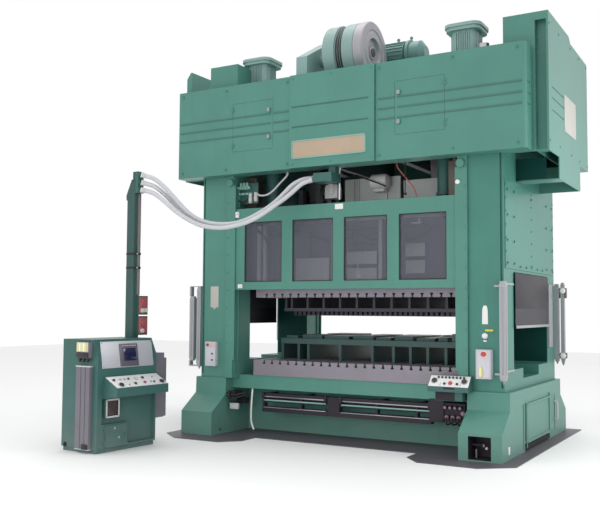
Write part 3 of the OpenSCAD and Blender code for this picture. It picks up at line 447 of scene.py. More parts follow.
press_paint = enamel("press_enamel", (0.071, 0.219, 0.175), (0.17, 0.36, 0.31), shine=0.35)
# Painted shade: a darker copy of the press green, given to the right upright so that it reads less lit than the left
# one.
shaded_column_paint = enamel("column_enamel_painted_shade", (0.05, 0.188, 0.149), (0.15, 0.33, 0.28), shine=0.35)
cover_paint = enamel("cover_enamel", (0.07, 0.217, 0.175), (0.18, 0.38, 0.33), rough=0.38, shine=0.35)
dark_paint = enamel("console_enamel", (0.035, 0.106, 0.096), (0.13, 0.25, 0.22), rough=0.4, shine=0.35)
mast_paint = enamel("mast_enamel", (0.031, 0.077, 0.07), (0.12, 0.2, 0.18), rough=0.4, shine=0.3)
roof_paint = enamel("roof_enamel", (0.225, 0.358, 0.338), (0.32, 0.44, 0.42), rough=0.42)
wheel_paint = enamel("flywheel_enamel", (0.22, 0.335, 0.318), (0.34, 0.45, 0.43), rough=0.4)
motor_paint = enamel("motor_enamel", (0.098, 0.225, 0.205), (0.2, 0.34, 0.32), rough=0.42)
shade_paint = enamel("bolt_enamel", (0.045, 0.155, 0.125), (0.12, 0.26, 0.22), rough=0.45)
# Painted shade: near-black green for sheets that stand in for the shade under the right hood and in the side windows.
deep_shade_paint = enamel("deep_shade_enamel", (0.004, 0.042, 0.035), (0.03, 0.08, 0.07), rough=0.6, dust_amount=0.05, shine=0.1)
# Painted shade: the dark green laid in the cover grooves stands for the shade that falls in them.
groove_shade_paint = enamel("groove_shade_enamel", (0.045, 0.155, 0.125), (0.03, 0.11, 0.09), rough=0.6, edge=0.001)
# Painted shade: a darker green for the crown's bearing walls and the rear closing sheet, standing for the shade inside.
inner_shade_paint = enamel("inner_shade_enamel", (0.05, 0.1, 0.095), (0.1, 0.17, 0.16), rough=0.55)
slide_paint = enamel("slide_enamel", (0.055, 0.062, 0.078), (0.13, 0.14, 0.16), rough=0.5)
pale_green = enamel("pale_green_enamel", (0.2, 0.38, 0.33), (0.4, 0.55, 0.5), rough=0.4, dust_amount=0.1)
grey_paint = enamel("grey_enamel", (0.27, 0.27, 0.275), (0.42, 0.42, 0.42), rough=0.4)
# Partly the sheets' own light grey-green, partly painted light: made paler to make up for the little light under the
# crown.
lightened_housing_paint = enamel("housing_enamel_lightened", (0.46, 0.49, 0.47), (0.6, 0.62, 0.6), rough=0.4, dust_amount=0.2)
pale_grey = enamel("pale_grey_enamel", (0.48, 0.48, 0.48), (0.62, 0.62, 0.62), rough=0.4, dust_amount=0.2)
lilac_paint = enamel("box_enamel", (0.52, 0.505, 0.565), (0.72, 0.71, 0.76), rough=0.38, dust_amount=0.1)
face_paint = enamel("face_enamel", (0.66, 0.66, 0.67), (0.8, 0.8, 0.8), rough=0.35, dust_amount=0.05)
side_paint = enamel("guard_sheet", (0.016, 0.015, 0.024), (0.1, 0.1, 0.11), rough=0.4, dust_amount=0.1, shine=0.2)
slate_paint = enamel("slate_sheet", (0.034, 0.033, 0.038), (0.14, 0.14, 0.15), rough=0.5, dust_amount=0.05, shine=0.15)
trunk_paint = enamel("trunking_enamel", (0.13, 0.122, 0.147), (0.26, 0.25, 0.28), rough=0.45)
duct_paint = enamel("duct_enamel", (0.155, 0.135, 0.135), (0.28, 0.26, 0.26), rough=0.5)
brown_paint = enamel("connector_enamel", (0.085, 0.06, 0.06), (0.2, 0.16, 0.15), rough=0.5)
brick_paint = enamel("socket_enamel", (0.3, 0.065, 0.075), (0.45, 0.2, 0.2), rough=0.4)
stone_paint = enamel("stone_enamel", (0.44, 0.43, 0.4), (0.55, 0.55, 0.52), rough=0.5, dust_amount=0.05)
tan_paint = enamel("tan_enamel", (0.4, 0.305, 0.215), (0.5, 0.42, 0.32), rough=0.45, dust_amount=0.05)
bezel_paint = enamel("bezel_enamel", (0.095, 0.085, 0.11), (0.2, 0.19, 0.22), rough=0.45)
floor_paint = enamel("tray_enamel", (0.07, 0.06, 0.078), (0.22, 0.21, 0.23), rough=0.45, dust_amount=0.15)
black_paint = enamel("black_enamel", (0.022, 0.017, 0.026), (0.11, 0.1, 0.12), rough=0.42, dust_amount=0.08, shine=0.25)
# Painted shadow: near-black slabs and discs standing for the shade in gaps and holes.
black_shade_paint = enamel("shadow_enamel", (0.006, 0.007, 0.008), (0.02, 0.02, 0.02), rough=0.8, dust_amount=0.0, edge=0.001)
plate_metal = bare_metal("machined_plate", (0.252, 0.234, 0.275), rough=0.45, metallic=0.35)
steel_metal = bare_metal("ground_steel", (0.5, 0.5, 0.52), rough=0.3)
bright_metal = bare_metal("bright_profile", (0.36, 0.37, 0.387), rough=0.36, metallic=0.55,
                          along=(60, 60, 1), stain_amount=0.12)
sheet_silver = bare_metal("brushed_sheet", (0.46, 0.465, 0.5), rough=0.42, metallic=0.25,
                          along=(2, 2, 60), stain_amount=0.05)
rose_metal = bare_metal("plated_unions", (0.3, 0.2, 0.235), rough=0.35, metallic=0.6, stain_amount=0.2)
die_metal = bare_metal("die_steel", (0.06, 0.058, 0.075), rough=0.42, metallic=0.5, stain=(0.04, 0.035, 0.035))
die_green = enamel("die_enamel", (0.028, 0.075, 0.068), (0.09, 0.15, 0.14), rough=0.45)
gear_metal = bare_metal("oiled_gear_steel", (0.13, 0.13, 0.135), rough=0.32, metallic=0.85)
bronze_metal = bare_metal("oiled_bronze", (0.1, 0.085, 0.07), rough=0.4, metallic=0.4)
wheel_metal = bare_metal("clutch_disc_metal", (0.36, 0.35, 0.375), rough=0.42, metallic=0.3,
                         along=(60, 3, 3), stain_amount=0.15)
belt_rubber = moulded("belt_rubber", (0.02, 0.02, 0.02), rough=0.6)
hose_rubber = moulded("conduit_skin", (0.48, 0.49, 0.512), rough=0.45)
black_plastic = moulded("black_plastic", (0.012, 0.012, 0.013), rough=0.32)
lens_grey = moulded("lens_plastic", (0.28, 0.27, 0.31), rough=0.2, coat=0.4)
red_plastic = moulded("red_plastic", (0.5, 0.045, 0.035), rough=0.3)
dark_rose = moulded("dark_rose_plastic", (0.22, 0.04, 0.05), rough=0.35)
rose_plastic = moulded("rose_plastic", (0.6, 0.42, 0.42), rough=0.4)
yellow_plastic = moulded("yellow_plastic", (0.62, 0.5, 0.06), rough=0.35)
pale_yellow = moulded("pale_yellow_plastic", (0.74, 0.72, 0.3), rough=0.35)
yellow_soft = moulded("marker_yellow", (0.62, 0.58, 0.22), rough=0.45)
white_plastic = moulded("white_plastic", (0.72, 0.72, 0.7), rough=0.4)
smoked_pane = clear_pane("smoked_pane", (0.13, 0.138, 0.172), 0.38)
brown_glass = clear_pane("brown_glass", (0.06, 0.045, 0.045), 0.92)
screen_glass = moulded("screen_glass", (0.014, 0.015, 0.055), rough=0.12, speckle=0.02, coat=0.3)

SLOT_LOOKS = {
    "press_green": (press_paint, shaded_column_paint), "cover_green": (cover_paint,),
    "dark_green": (dark_paint, shade_paint, deep_shade_paint, groove_shade_paint, inner_shade_paint),
    "light_grey": (pale_green, grey_paint, lightened_housing_paint, pale_grey, lilac_paint, face_paint, duct_paint, stone_paint,
                   tan_paint, white_plastic, rose_plastic, yellow_plastic, pale_yellow, yellow_soft),
    "dark_steel": (slate_paint, bezel_paint, black_paint, black_shade_paint, lens_grey, screen_glass),
    "machined_steel": (bright_metal, steel_metal, rose_metal), "silver": (sheet_silver,), "pane": (brown_glass,),
    "button_black": (black_plastic, brown_paint), "button_red": (red_plastic, dark_rose, brick_paint),
    "belt": (belt_rubber,), "conduit": (hose_rubber,)}
SLOT_OF = {look.name: slot for slot, looks in SLOT_LOOKS.items() for look in looks}

NODE_LOOKS = (
    # The right upright takes the darker copy of the press green as painted shade; the left one takes the press green
    # itself.
    (press_paint, "bed upright_left crown_frame front_guard rear_guard guard_rails"), (shaded_column_paint, "upright_right"),
    (cover_paint, "crown_cover_left crown_cover_center crown_cover_right crown_cover_rear crown_door_left "
                  "crown_door_right end_hood_left end_hood_right"),
    (dark_paint, "counterbalance_cylinders operator_panel console_cabinet console_door conduit_fittings"),
    (steel_metal, "tie_rods counterbalance_rods crankshaft"), (plate_metal, "bolster slide_plate"),
    (gear_metal, "main_gear connections idler_gears drive_shaft motor_pulley"), (roof_paint, "roof_vents gear_hood"),
    (black_plastic, "panel_palm_left panel_palm_right console_palm_left console_palm_right"),
    (black_paint, "die_rail hydraulic_units"), (side_paint, "side_guard_left side_guard_right"),
    (smoked_pane, "front_guard_panes rear_guard_panes"), (hose_rubber, "conduit_1 conduit_2 conduit_3"),
    # The bearing walls take the darker inner green as painted shade.
    (floor_paint, "floor_pan"), (inner_shade_paint, "bearing_walls"), (bronze_metal, "gibs"), (wheel_metal, "clutch_brake"),
    (wheel_paint, "flywheel"), (motor_paint, "motor"), (belt_rubber, "drive_belts"), (slide_paint, "slide"),
    (die_metal, "upper_die"), (die_green, "lower_die"), (bright_metal, "light_curtains"), (lilac_paint, "stop_box"),
    (red_plastic, "stop_mushroom"), (trunk_paint, "console_side_box"), (mast_paint, "console_mast"))
for look, nodes in NODE_LOOKS:
    for node in nodes.split():
        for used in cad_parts[node].material_slots:
            used.material = look


# ---- Conduits ----

ROUTES = {
    "conduit_1": [(-2.6, -3.055, 4.11), (-2.45, -2.935, 4.055), (-2.33, -2.845, 3.94), (-2.225, -2.77, 3.805),
                  (-2.12, -2.7, 3.665), (-2.01, -2.63, 3.535), (-1.88, -2.54, 3.43), (-1.73, -2.445, 3.375),
                  (-1.575, -2.34, 3.36), (-1.415, -2.24, 3.375), (-1.265, -2.14, 3.43), (-1.125, -2.05, 3.515),
                  (-0.995, -1.96, 3.615), (-0.87, -1.885, 3.73), (-0.755, -1.815, 3.865), (-0.645, -1.745, 3.995),
                  (-0.5, -1.66, 4.08), (-0.34, -1.575, 4.1)],
    "conduit_2": [(-2.6, -3.055, 3.99), (-2.465, -2.915, 3.94), (-2.365, -2.795, 3.835), (-2.27, -2.695, 3.705),
                  (-2.16, -2.61, 3.58), (-2.035, -2.53, 3.465), (-1.895, -2.435, 3.38), (-1.74, -2.335, 3.345),
                  (-1.585, -2.23, 3.345), (-1.43, -2.13, 3.375), (-1.285, -2.035, 3.44), (-1.145, -1.94, 3.525),
                  (-1.015, -1.86, 3.63), (-0.885, -1.78, 3.74), (-0.76, -1.705, 3.86), (-0.64, -1.635, 3.985),
                  (-0.5, -1.55, 4.08), (-0.34, -1.47, 4.105)],
    "conduit_3": [(-2.6, -3.055, 3.875), (-2.445, -2.96, 3.83), (-2.31, -2.9, 3.73), (-2.19, -2.845, 3.615),
                  (-2.07, -2.775, 3.505), (-1.94, -2.695, 3.41), (-1.805, -2.605, 3.335), (-1.66, -2.51, 3.3),
                  (-1.51, -2.41, 3.295), (-1.365, -2.315, 3.325), (-1.22, -2.22, 3.375), (-1.085, -2.13, 3.45),
                  (-0.96, -2.05, 3.545), (-0.84, -1.97, 3.65), (-0.715, -1.895, 3.755), (-0.6, -1.825, 3.87),
                  (-0.485, -1.755, 3.99), (-0.34, -1.68, 4.06)]}


def conduit_shape(route, r=0.036, pitch=0.022):
    """A ribbed hose: a circle carried along the smooth route whose radius swings by 4% once every pitch."""
    fine = smooth_path(route, 40)
    step = np.linalg.norm(np.diff(fine, axis=0), axis=1)
    s = np.concatenate([[0], np.cumsum(step)])
    rings = np.linspace(0, s[-1], int(s[-1] / pitch * 4) + 1)
    path = np.stack([np.interp(rings, s, fine[:, k]) for k in range(3)], 1)
    wave = 1 - 0.04 * (1 - np.cos(2 * math.pi * rings / pitch))
    return swept(ring(r, 16), path, scale=wave), fine, s[-1]


for name, route in ROUTES.items():
    shape, line, length = conduit_shape(route)
    hose = piece(name + "_hose", shape, hose_rubber, smooth=60)
    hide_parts(name)


# ---- Small fittings that many places share ----

COLLAR_H = 0.006
SHEET_T = 0.004


def face_places(origin, normal, places, lift=0.0):
    """World points of (across, up) places on a face whose own axes are those of facing(normal), lifted off it."""
    turn = facing(normal)
    return [np.array(origin) + turn @ np.array([u, v, lift]) for u, v in places]


def on_face(shape, origin, normal):
    """A shape drawn with X across, Y up and Z out of a face, put on that face."""
    return moved(shape, origin, facing(normal))

def plate(low, high, thickness, r=0.006):
    """A flat rounded plate from one corner to the other of a face, its rim rolled by half its thickness at most."""
    low, high = np.array(low, float), np.array(high, float)
    points, faces = slab(rounded(*(high - low), r, 3), 0, thickness, min(0.4 * thickness, 0.002), 2, both=False)
    return points + np.array([*(low + high) / 2, 0]), faces


def frame_ring(low, high, width, thickness):
    """A flat frame: its section, a rectangle width by thickness, is carried round the corners of the opening."""
    low, high = np.array(low, float), np.array(high, float)
    outer = rounded(*(high - low), 0.008, 3) + (low + high) / 2
    inner = inset(outer, width)
    section = ((outer, 0), (outer, thickness), (inner, thickness), (inner, 0), (outer, 0))
    return grid_shape(np.stack([np.column_stack([edge, np.full(len(edge), float(z))]) for edge, z in section]),
                      caps=False)


def pipe(points, r):
    """A round tube of radius r carried along a smooth curve through the points, held upright by the axis that the
    curve follows least."""
    path = smooth_path(points, 8)
    follows = np.abs(unit(np.gradient(path, axis=0))).max(0)
    return swept(ring(r, 12), path, up=np.eye(3)[np.argmin(follows)])


def screws(origin, normal, places, r, h, lift=0.0):
    """At each place of a face a bolt head on a washer: a chamfered prism over a thin round disc."""
    washer = turned([(0, 0), (1.35 * r, 0), (1.35 * r, 0.2 * h), (0, 0.2 * h)], n=12)
    head = slab(ring(r, 6), 0.2 * h, h, 0.12 * h, 1, both=False)
    return joined(on_face(joined([washer, head]), c, normal) for c in face_places(origin, normal, places, lift))


def knob(r, h):
    """Profile of a round cap whose top is a shallow dome: height falls off with the square of the radius."""
    dome = [(0.86 * r * a, h - 0.18 * h * a * a) for a in np.linspace(1, 0, 5)]
    return turned([(0, 0), (r, 0), (r, 0.62 * h), (0.95 * r, 0.78 * h)] + dome, n=24)


def collar(r, h, n=24):
    """Profile of a bevelled ring round a button."""
    return turned([(0, 0), (1.35 * r, 0), (1.3 * r, 0.6 * h), (1.1 * r, h), (0, h)], n=n)


def buttons(name, origin, normal, places, r, material, rim=plate_metal, h=0.016, lift=0.0):
    """Caps of one colour on a face, each in a bevelled metal collar."""
    centres = face_places(origin, normal, places, lift)
    piece(name + "_collars", [on_face(collar(r, COLLAR_H), c, normal) for c in centres], rim, slot="machined_steel")
    up = unit(normal) * COLLAR_H
    piece(name, [on_face(knob(r, h), c + up, normal) for c in centres], material)


def palm_rings(name, origin, normal, places):
    """Thin bevelled rings that lie round the palm buttons of a sheet and leave them room to be pressed."""
    rim = turned([(0.0365, 0), (0.047, 0), (0.046, 0.003), (0.0375, 0.003), (0.0365, 0)])
    piece(name, [on_face(rim, c, normal) for c in face_places(origin, normal, places, SHEET_T)], grey_paint)


# ---- Crown ----

GROOVE_FLOOR = 0.01
GROOVE_HALF = 0.0122
OUTER_LEVELS = (5.19, 5.035, 4.88)
CENTRE_LEVELS = (5.225, 4.905)
HOOD_LEVELS = (5.175, 5.02, 4.85)
LATCH_LEVELS = (4.812, 5.25)
cover_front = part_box("crown_cover_right")[0][1]
cover_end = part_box("crown_cover_right")[1][0]
centre_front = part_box("crown_cover_center")[0][1]
hood_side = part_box("end_hood_right")[1][0]
COVER_FACE, CENTRE_FACE, HOOD_FACE = (0, cover_front, 0), (0, centre_front, 0), (hood_side, 0, 0)
REAR_FACE = (0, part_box("crown_cover_rear")[1][1], 0)


def groove_shade_strips(x0, x1, front=cover_front, levels=OUTER_LEVELS):
    """Thin dark strips of painted shade lying on the floors of the grooves of a cover, from x0 to x1."""
    y = front + GROOVE_FLOOR
    return joined(box((x0, y - 0.0015, z - GROOVE_HALF), (x1, y + 0.0008, z + GROOVE_HALF), 0.0004, 1) for z in levels)


def end_groove_shade_strips(x, y0, y1, levels, half=GROOVE_HALF):
    """The same painted-shade strips on a face that looks sideways, from y0 to y1; x is the groove's floor."""
    s = math.copysign(1, x)
    return joined(box((x - s * 0.0008, y0, z - half), (x + s * 0.0015, y1, z + half), 0.0004, 1) for z in levels)


def groove_strips():
    """Painted shade: dark strips on the floors of the cover grooves, standing for the shade in them, those of the doors
    riding on the doors.
    """
    piece("groove_shade_center", groove_shade_strips(-0.695, 0.639, centre_front, CENTRE_LEVELS), groove_shade_paint)
    spans = (0.781, 1.052), (1.832, cover_end - 0.061), (-1.071, -0.781), (0.061 - cover_end, -1.851)
    ends = [end_groove_shade_strips(s * (cover_end - GROOVE_FLOOR), cover_front + 0.061, cover_front + 0.199, OUTER_LEVELS)
            for s in SIDES]
    hood = [end_groove_shade_strips(hood_side - 0.008, -1.199, -0.481, HOOD_LEVELS, 0.0095)]
    piece("groove_shade_covers", [groove_shade_strips(a, b) for a, b in spans] + ends + hood, groove_shade_paint)
    for side, a, b in (("right", 1.097, 1.827), ("left", -1.846, -1.116)):
        piece("groove_shade_door_" + side, groove_shade_strips(a, b), groove_shade_paint, "crown_door_" + side)


def door_latches():
    """Quarter-turn latches on the crown doors: a bright rounded plate, a turned boss and a slotted bar."""
    latch = joined([plate((-0.024, -0.029), (0.024, 0.029), 0.004), collar(0.012, 0.008),
                    plate((-0.004, -0.018), (0.004, 0.018), 0.014, 0.003)])
    for side, x in (("right", 1.121), ("left", -1.14)):
        piece("latch_faces_" + side, [on_face(latch, (x, cover_front - 0.016, z), FRONT) for z in LATCH_LEVELS],
              bright_metal, "crown_door_" + side)


def crown_plates():
    """Bare name panel, a sheet in a thin raised rim, and a bare end plate, each with a screw near every corner."""
    low, high = np.array([-0.69, 4.4]), np.array([0.6, 4.69])
    piece("front_panel_rim", on_face(frame_ring(low, high, 0.02, 0.012), CENTRE_FACE, FRONT), pale_green,
          slot="cover_green")
    piece("front_panel_sheet", on_face(plate(low + 0.016, high - 0.016, 0.006), CENTRE_FACE, FRONT), tan_paint)
    corners = [(x, z) for x in (low[0] + 0.05, high[0] - 0.05) for z in (low[1] + 0.045, high[1] - 0.045)]
    piece("front_panel_screws", screws(CENTRE_FACE, FRONT, corners, 0.01, 0.006, 0.006), steel_metal)
    # A thin near-black sheet under the right hood stands for the shade there: painted shade.
    piece("hood_shade_sheet", box((2.604, -0.8035, 3.95), (3.05, -0.8, 4.264), 0.001, 1), deep_shade_paint)
    piece("end_plate", on_face(plate((-0.46, 4.69), (0.31, 5.24), 0.006, 0.02), HOOD_FACE, RIGHT), stone_paint)
    corners = [(y, z) for y in (-0.42, 0.27) for z in (4.73, 5.2)]
    piece("end_plate_screws", screws(HOOD_FACE, RIGHT, corners, 0.011, 0.007, 0.006), steel_metal)


def cover_fasteners():
    """Small round-headed screws along the joints of the crown's covers and up the hood, and two rear hatches."""
    end = cover_end - 0.12
    outer = [(x, z) for x in (-end, -1.98, -0.8, 0.8, 1.95, end) for z in (4.34, 5.66)]
    middle = [(x, z) for x in (-0.68, 0.0, 0.68) for z in (4.32, 5.68)]
    for name, face, normal, places in (("cover", COVER_FACE, FRONT, outer), ("centre", CENTRE_FACE, FRONT, middle),
                                       ("rear", REAR_FACE, REAR, outer)):
        piece(name + "_screws", screws(face, normal, places, 0.013, 0.008), cover_paint)
    hatches = [(s * 1.475 - 0.375, s * 1.475 + 0.375) for s in SIDES]
    piece("rear_hatches", [on_face(frame_ring((a, 4.69), (b, 5.37), 0.018, 0.006), REAR_FACE, REAR)
                           for a, b in hatches], cover_paint)
    latch = joined([collar(0.022, 0.01), plate((-0.006, -0.024), (0.006, 0.024), 0.018, 0.003)])
    places = face_places(REAR_FACE, REAR, [(b - 0.055, z) for a, b in hatches for z in LATCH_LEVELS])
    piece("rear_latches", [on_face(latch, c, REAR) for c in places], bright_metal)
    side = [(y, z) for y in (-1.33, -0.75, 0.0, 0.6, 1.16) for z in (4.4, 6.05)]
    piece("hood_screws", screws(HOOD_FACE, RIGHT, side, 0.014, 0.008), cover_paint)


groove_strips()
door_latches()
crown_plates()
cover_fasteners()


# ---- Under the crown ----

HOUSING_FRONT = -0.68
HOUSING_BASE = 3.45
HOUSING_TOP = HOUSING_BASE + 0.735
SLIDE_FACE = -1.1
VALVE_Y = -1.372
crown_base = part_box("crown_frame")[0][2]


def adjuster_sheets():
    """Grey sheets over the slide's adjusters, made paler as painted light: a wide ribbed one with a round motor lying
    across it, and two plain; the motor's pale drum sits on a highlight as painted highlight.
    """
    y, base, top = HOUSING_FRONT, HOUSING_BASE, HOUSING_TOP
    sheets = [box((-0.275, y - 0.012, base - 0.005), (0.485, y + 0.02, top)),
              box((0.495, y - 0.012, base - 0.005), (0.715, y + 0.02, top)),
              box((0.77, y - 0.01, base - 0.006), (1.42, y + 0.02, top - 0.08))]
    ribs = [box((x - 0.006, y - 0.034, base + 0.02), (x + 0.006, y - 0.01, top - 0.02), 0.003)
            for x in (-0.1, -0.055, -0.01)]
    piece("adjuster_sheets", sheets + ribs, lightened_housing_paint, "slide")
    # The pale drum sits where the sheet shows a bright highlight and stands in for it: painted highlight.
    drum = turned([(0, 0), (0.112, 0), (0.12, 0.01), (0.12, 0.24), (0.105, 0.27), (0.05, 0.29), (0, 0.295)],
                  (0.3, y - 0.17, top - 0.1), RIGHT, 36)
    foot = box((0.32, y - 0.2, top - 0.26), (0.52, y - 0.008, top - 0.21), 0.006)
    piece("adjuster_motor_highlight", [drum, foot], pale_grey, "slide")
    rod = [(0.08, y - 0.35, top + 0.01), (0.36, y - 0.36, top - 0.1), (0.62, y - 0.35, top - 0.21)]
    piece("adjuster_rod", pipe(rod, 0.012), black_paint, "slide")


def slide_fittings():
    """Behind the panes, on the slide's front face: conduit bars, raised sheets, a white bracket and black hoses."""
    y, back = SLIDE_FACE, SLIDE_FACE + 0.002
    bars = (-1.72, 0.085), (-1.58, 0.05), (-0.285, 0.075), (0.545, 0.06)
    piece("slide_bars", [box((x, y - 0.05, 2.42), (x + w, back, 3.44), 0.006) for x, w in bars], pale_grey, "slide")
    sheets = ((-0.96, -0.34, 2.44, 2.88), (-0.02, 0.5, 2.44, 2.7), (-0.02, 0.5, 2.76, 2.96),
              (0.98, 1.3, 2.6, 2.8), (0.98, 1.3, 2.86, 3.06))
    piece("slide_sheets", [box((a, y - 0.02, c), (b, back, d), 0.005) for a, b, c, d in sheets], pale_grey, "slide")
    piece("slide_bracket", [box((1.095, y - 0.06, 3.355), (1.255, back, 3.375)),
                            box((1.2, y - 0.03, 3.365), (1.225, back, 3.44))], white_plastic, "slide")
    runs = (([(-1.8, 3.42), (-1.66, 3.34), (-1.48, 3.16), (-1.4, 2.86), (-1.34, 2.44)], 0.026),
            ([(-1.0, 3.33), (-0.72, 3.29), (-0.46, 3.18), (-0.2, 3.17)], 0.014),
            ([(-0.98, 3.24), (-0.6, 3.22), (-0.3, 3.09)], 0.011),
            ([(-0.06, 3.34), (0.18, 3.27), (0.42, 3.15), (0.545, 3.13)], 0.014),
            ([(-0.06, 3.19), (0.22, 3.11), (0.545, 3.04)], 0.012),
            ([(0.64, 3.44), (0.65, 3.0), (0.7, 2.44)], 0.022),
            ([(0.96, 3.16), (1.12, 3.1), (1.3, 3.2), (1.42, 3.3)], 0.016))
    piece("slide_hoses", [pipe([(x, y - r - 0.022, z) for x, z in run], r) for run, r in runs], belt_rubber, "slide")


def air_valves():
    """Valve block on the left upright: a bracket, a manifold with three solenoids and two filter bowls."""
    x0, y = -1.944, VALVE_Y
    piece("valve_bracket", box((x0, -1.345, 3.8), (-1.56, -1.33, 4.15)), dark_paint)
    blocks = [box((x0 + 0.02, -1.4, 4.04), (-1.7, -1.34, 4.095), 0.006),
              box((x0 + 0.02, -1.39, 3.95), (-1.66, -1.34, 3.985), 0.006)]
    blocks += [boss([(0.024, 0.05), (0.018, 0.062)], 0.064, (x, y, 4.095)) for x in (-1.88, -1.82, -1.76)]
    blocks += [boss([(0.016, 0.04)], 0.045, (x, y - 0.03, 4.066), FRONT, 16) for x in (-1.9, -1.85, -1.8, -1.75)]
    blocks += [boss([(0.013, 0.03)], 0.034, (x, y - 0.02, 3.968), FRONT, 16) for x in (-1.88, -1.8, -1.72)]
    piece("valve_manifold", blocks, pale_green)
    bowl = [(0, 0), (0.02, 0.004), (0.034, 0.02), (0.036, 0.1), (0.03, 0.12), (0.034, 0.125), (0.034, 0.16), (0, 0.17)]
    piece("valve_bowls", [turned(bowl, (-1.585, y, 3.82)), turned(bowl, (-1.69, y, 3.8))], pale_grey)
    loop = [(-1.93, y, 3.86), (-1.84, y - 0.008, 3.82), (-1.75, y - 0.008, 3.87), (-1.71, y, 3.94)]
    piece("valve_loop", pipe(loop, 0.01), black_paint)
    feed = [(-1.585, y, 3.975), (-1.5, -1.375, 3.925), (-1.36, -1.385, 3.925), (-1.23, -1.39, 3.99),
            (-1.1, -1.395, 4.1), (-0.98, -1.398, 4.2), (-0.95, -1.398, crown_base + 0.01)]
    piece("air_pipe", pipe(feed, 0.016), hose_rubber, slot="light_grey")


def crown_hangers():
    """Fittings that hang from the crown's front flange: a lubricator, a straight tube and a red line with its clip; a
    lamp on the right upright and a closing sheet at the rear in the darker inner green of painted shade."""
    y = -1.385
    piece("lubricator", [box((-0.275, y - 0.01, 3.79), (-0.05, y + 0.15, 3.985), 0.012),
                         box((-0.262, y, 3.98), (-0.063, y + 0.13, 4.01), 0.008),
                         box((-0.2, y - 0.022, 3.85), (-0.125, y - 0.008, crown_base + 0.02), 0.003)], grey_paint)
    tube = boss([(0.013, 0.46), (0.02, 0.465), (0.02, 0.5)], 0.5, (-0.01, y - 0.008, crown_base - 0.5))
    piece("guard_stop_tube", tube, white_plastic)
    line = [(0.96, y - 0.01, crown_base + 0.01), (0.975, y - 0.01, 4.19), (1.04, y, 4.1), (1.13, y + 0.01, 3.99),
            (1.215, y + 0.02, 3.88), (1.275, y + 0.02, 3.74)]
    piece("red_line", pipe(line, 0.01), brick_paint)
    piece("red_line_clip", [box((1.07, y - 0.012, 3.765), (1.112, y + 0.02, 3.8), 0.003),
                            box((1.085, y - 0.006, 3.78), (1.099, y + 0.006, crown_base + 0.01), 0.003)], black_paint)
    piece("upright_lamp", boss([(0.034, 0.02), (0.024, 0.032)], 0.036, (1.955, -1.497, 3.885), FRONT), white_plastic)
    # The rear closing sheet is in the darker inner green, painted shade.
    piece("rear_header", box((-1.93, 1.384, 4.09), (1.93, 1.396, crown_base + 0.002), 0.003), inner_shade_paint)


adjuster_sheets()
slide_fittings()
air_valves()
crown_hangers()


# ---- Guards and columns ----

PANES = ((-1.735, -1.016), (-0.819, -0.085), (0.106, 0.834), (1.026, 1.77))
PANE_LOW, PANE_HIGH = 2.49, 3.475
column_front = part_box("upright_right")[0][1]
column_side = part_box("upright_right")[1][0]
guard_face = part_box("front_guard")[0][1]
COLUMN_FACE = (0, column_front, 0)


def guard_fittings():
    """Blank label, rubber pane beading, catches at the left edge and a hanging gauge, all on the front guard."""
    y = guard_face
    piece("guard_label", on_face(plate((-0.05, 3.602), (0.092, 3.686), 0.004), (0, y, 0), FRONT), white_plastic,
          "front_guard")
    for name, body, s, normal in (("pane_beading", "front_guard", 1, FRONT),
                                  ("pane_beading_rear", "rear_guard", -1, REAR)):
        piece(name, [on_face(frame_ring((min(s * a, s * b), PANE_LOW), (max(s * a, s * b), PANE_HIGH), 0.014, 0.01),
                             (0, s * (y + 0.016), 0), normal) for a, b in PANES], belt_rubber, body)
    catches = [box((-1.915, y - 0.022, 3.56), (-1.845, y + 0.002, 3.66), 0.005),
               box((-1.85, y - 0.022, 2.388), (-1.765, y + 0.002, 2.455), 0.005)]
    catches += [boss([(0.018, 0.02)], 0.024, (x, y - 0.022, z), FRONT, 20)
                for x, z in ((-1.88, 3.635), (-1.808, 2.422))]
    piece("guard_catches", catches, white_plastic, "front_guard")
    piece("guard_gauge", [box((0.3, y + 0.034, 2.515), (0.385, y + 0.058, 2.62), 0.005),
                          box((0.318, y + 0.034, 2.62), (0.334, y + 0.05, 2.77), 0.003)], pale_grey, "front_guard")


def column_bolts():
    """Rows of bolt heads along the inner strips and side covers of the uprights."""
    strips = [(s * 2.092, h) for s in SIDES for h in np.arange(1.9, 4.15, 0.325)]
    for name, s, normal in (("column_bolts", 1, FRONT), ("column_bolts_rear", -1, REAR)):
        places = [(s * x, h) for x, h in strips]
        # These bolt heads take the same darker copy of the press green, painted shade.
        piece(name, screws((0, s * column_front, 0), normal, places, 0.014, 0.01), shaded_column_paint)
    covers = [(y, h) for y in (-1.3, -0.96, 0.0, 0.93, 1.3) for h in (2.72, 3.04, 3.4, 3.76)
              if y or h in (2.72, 3.76)]
    covers += [(y, 2.69) for y in (-0.64, -0.32, 0.32, 0.64)]
    for name, s, normal in (("right", 1, RIGHT), ("left", -1, LEFT)):
        places = [(s * y, h) for y, h in covers]
        piece("side_bolts_" + name, screws((s * column_side, 0, 0), normal, places, 0.015, 0.009), shade_paint)


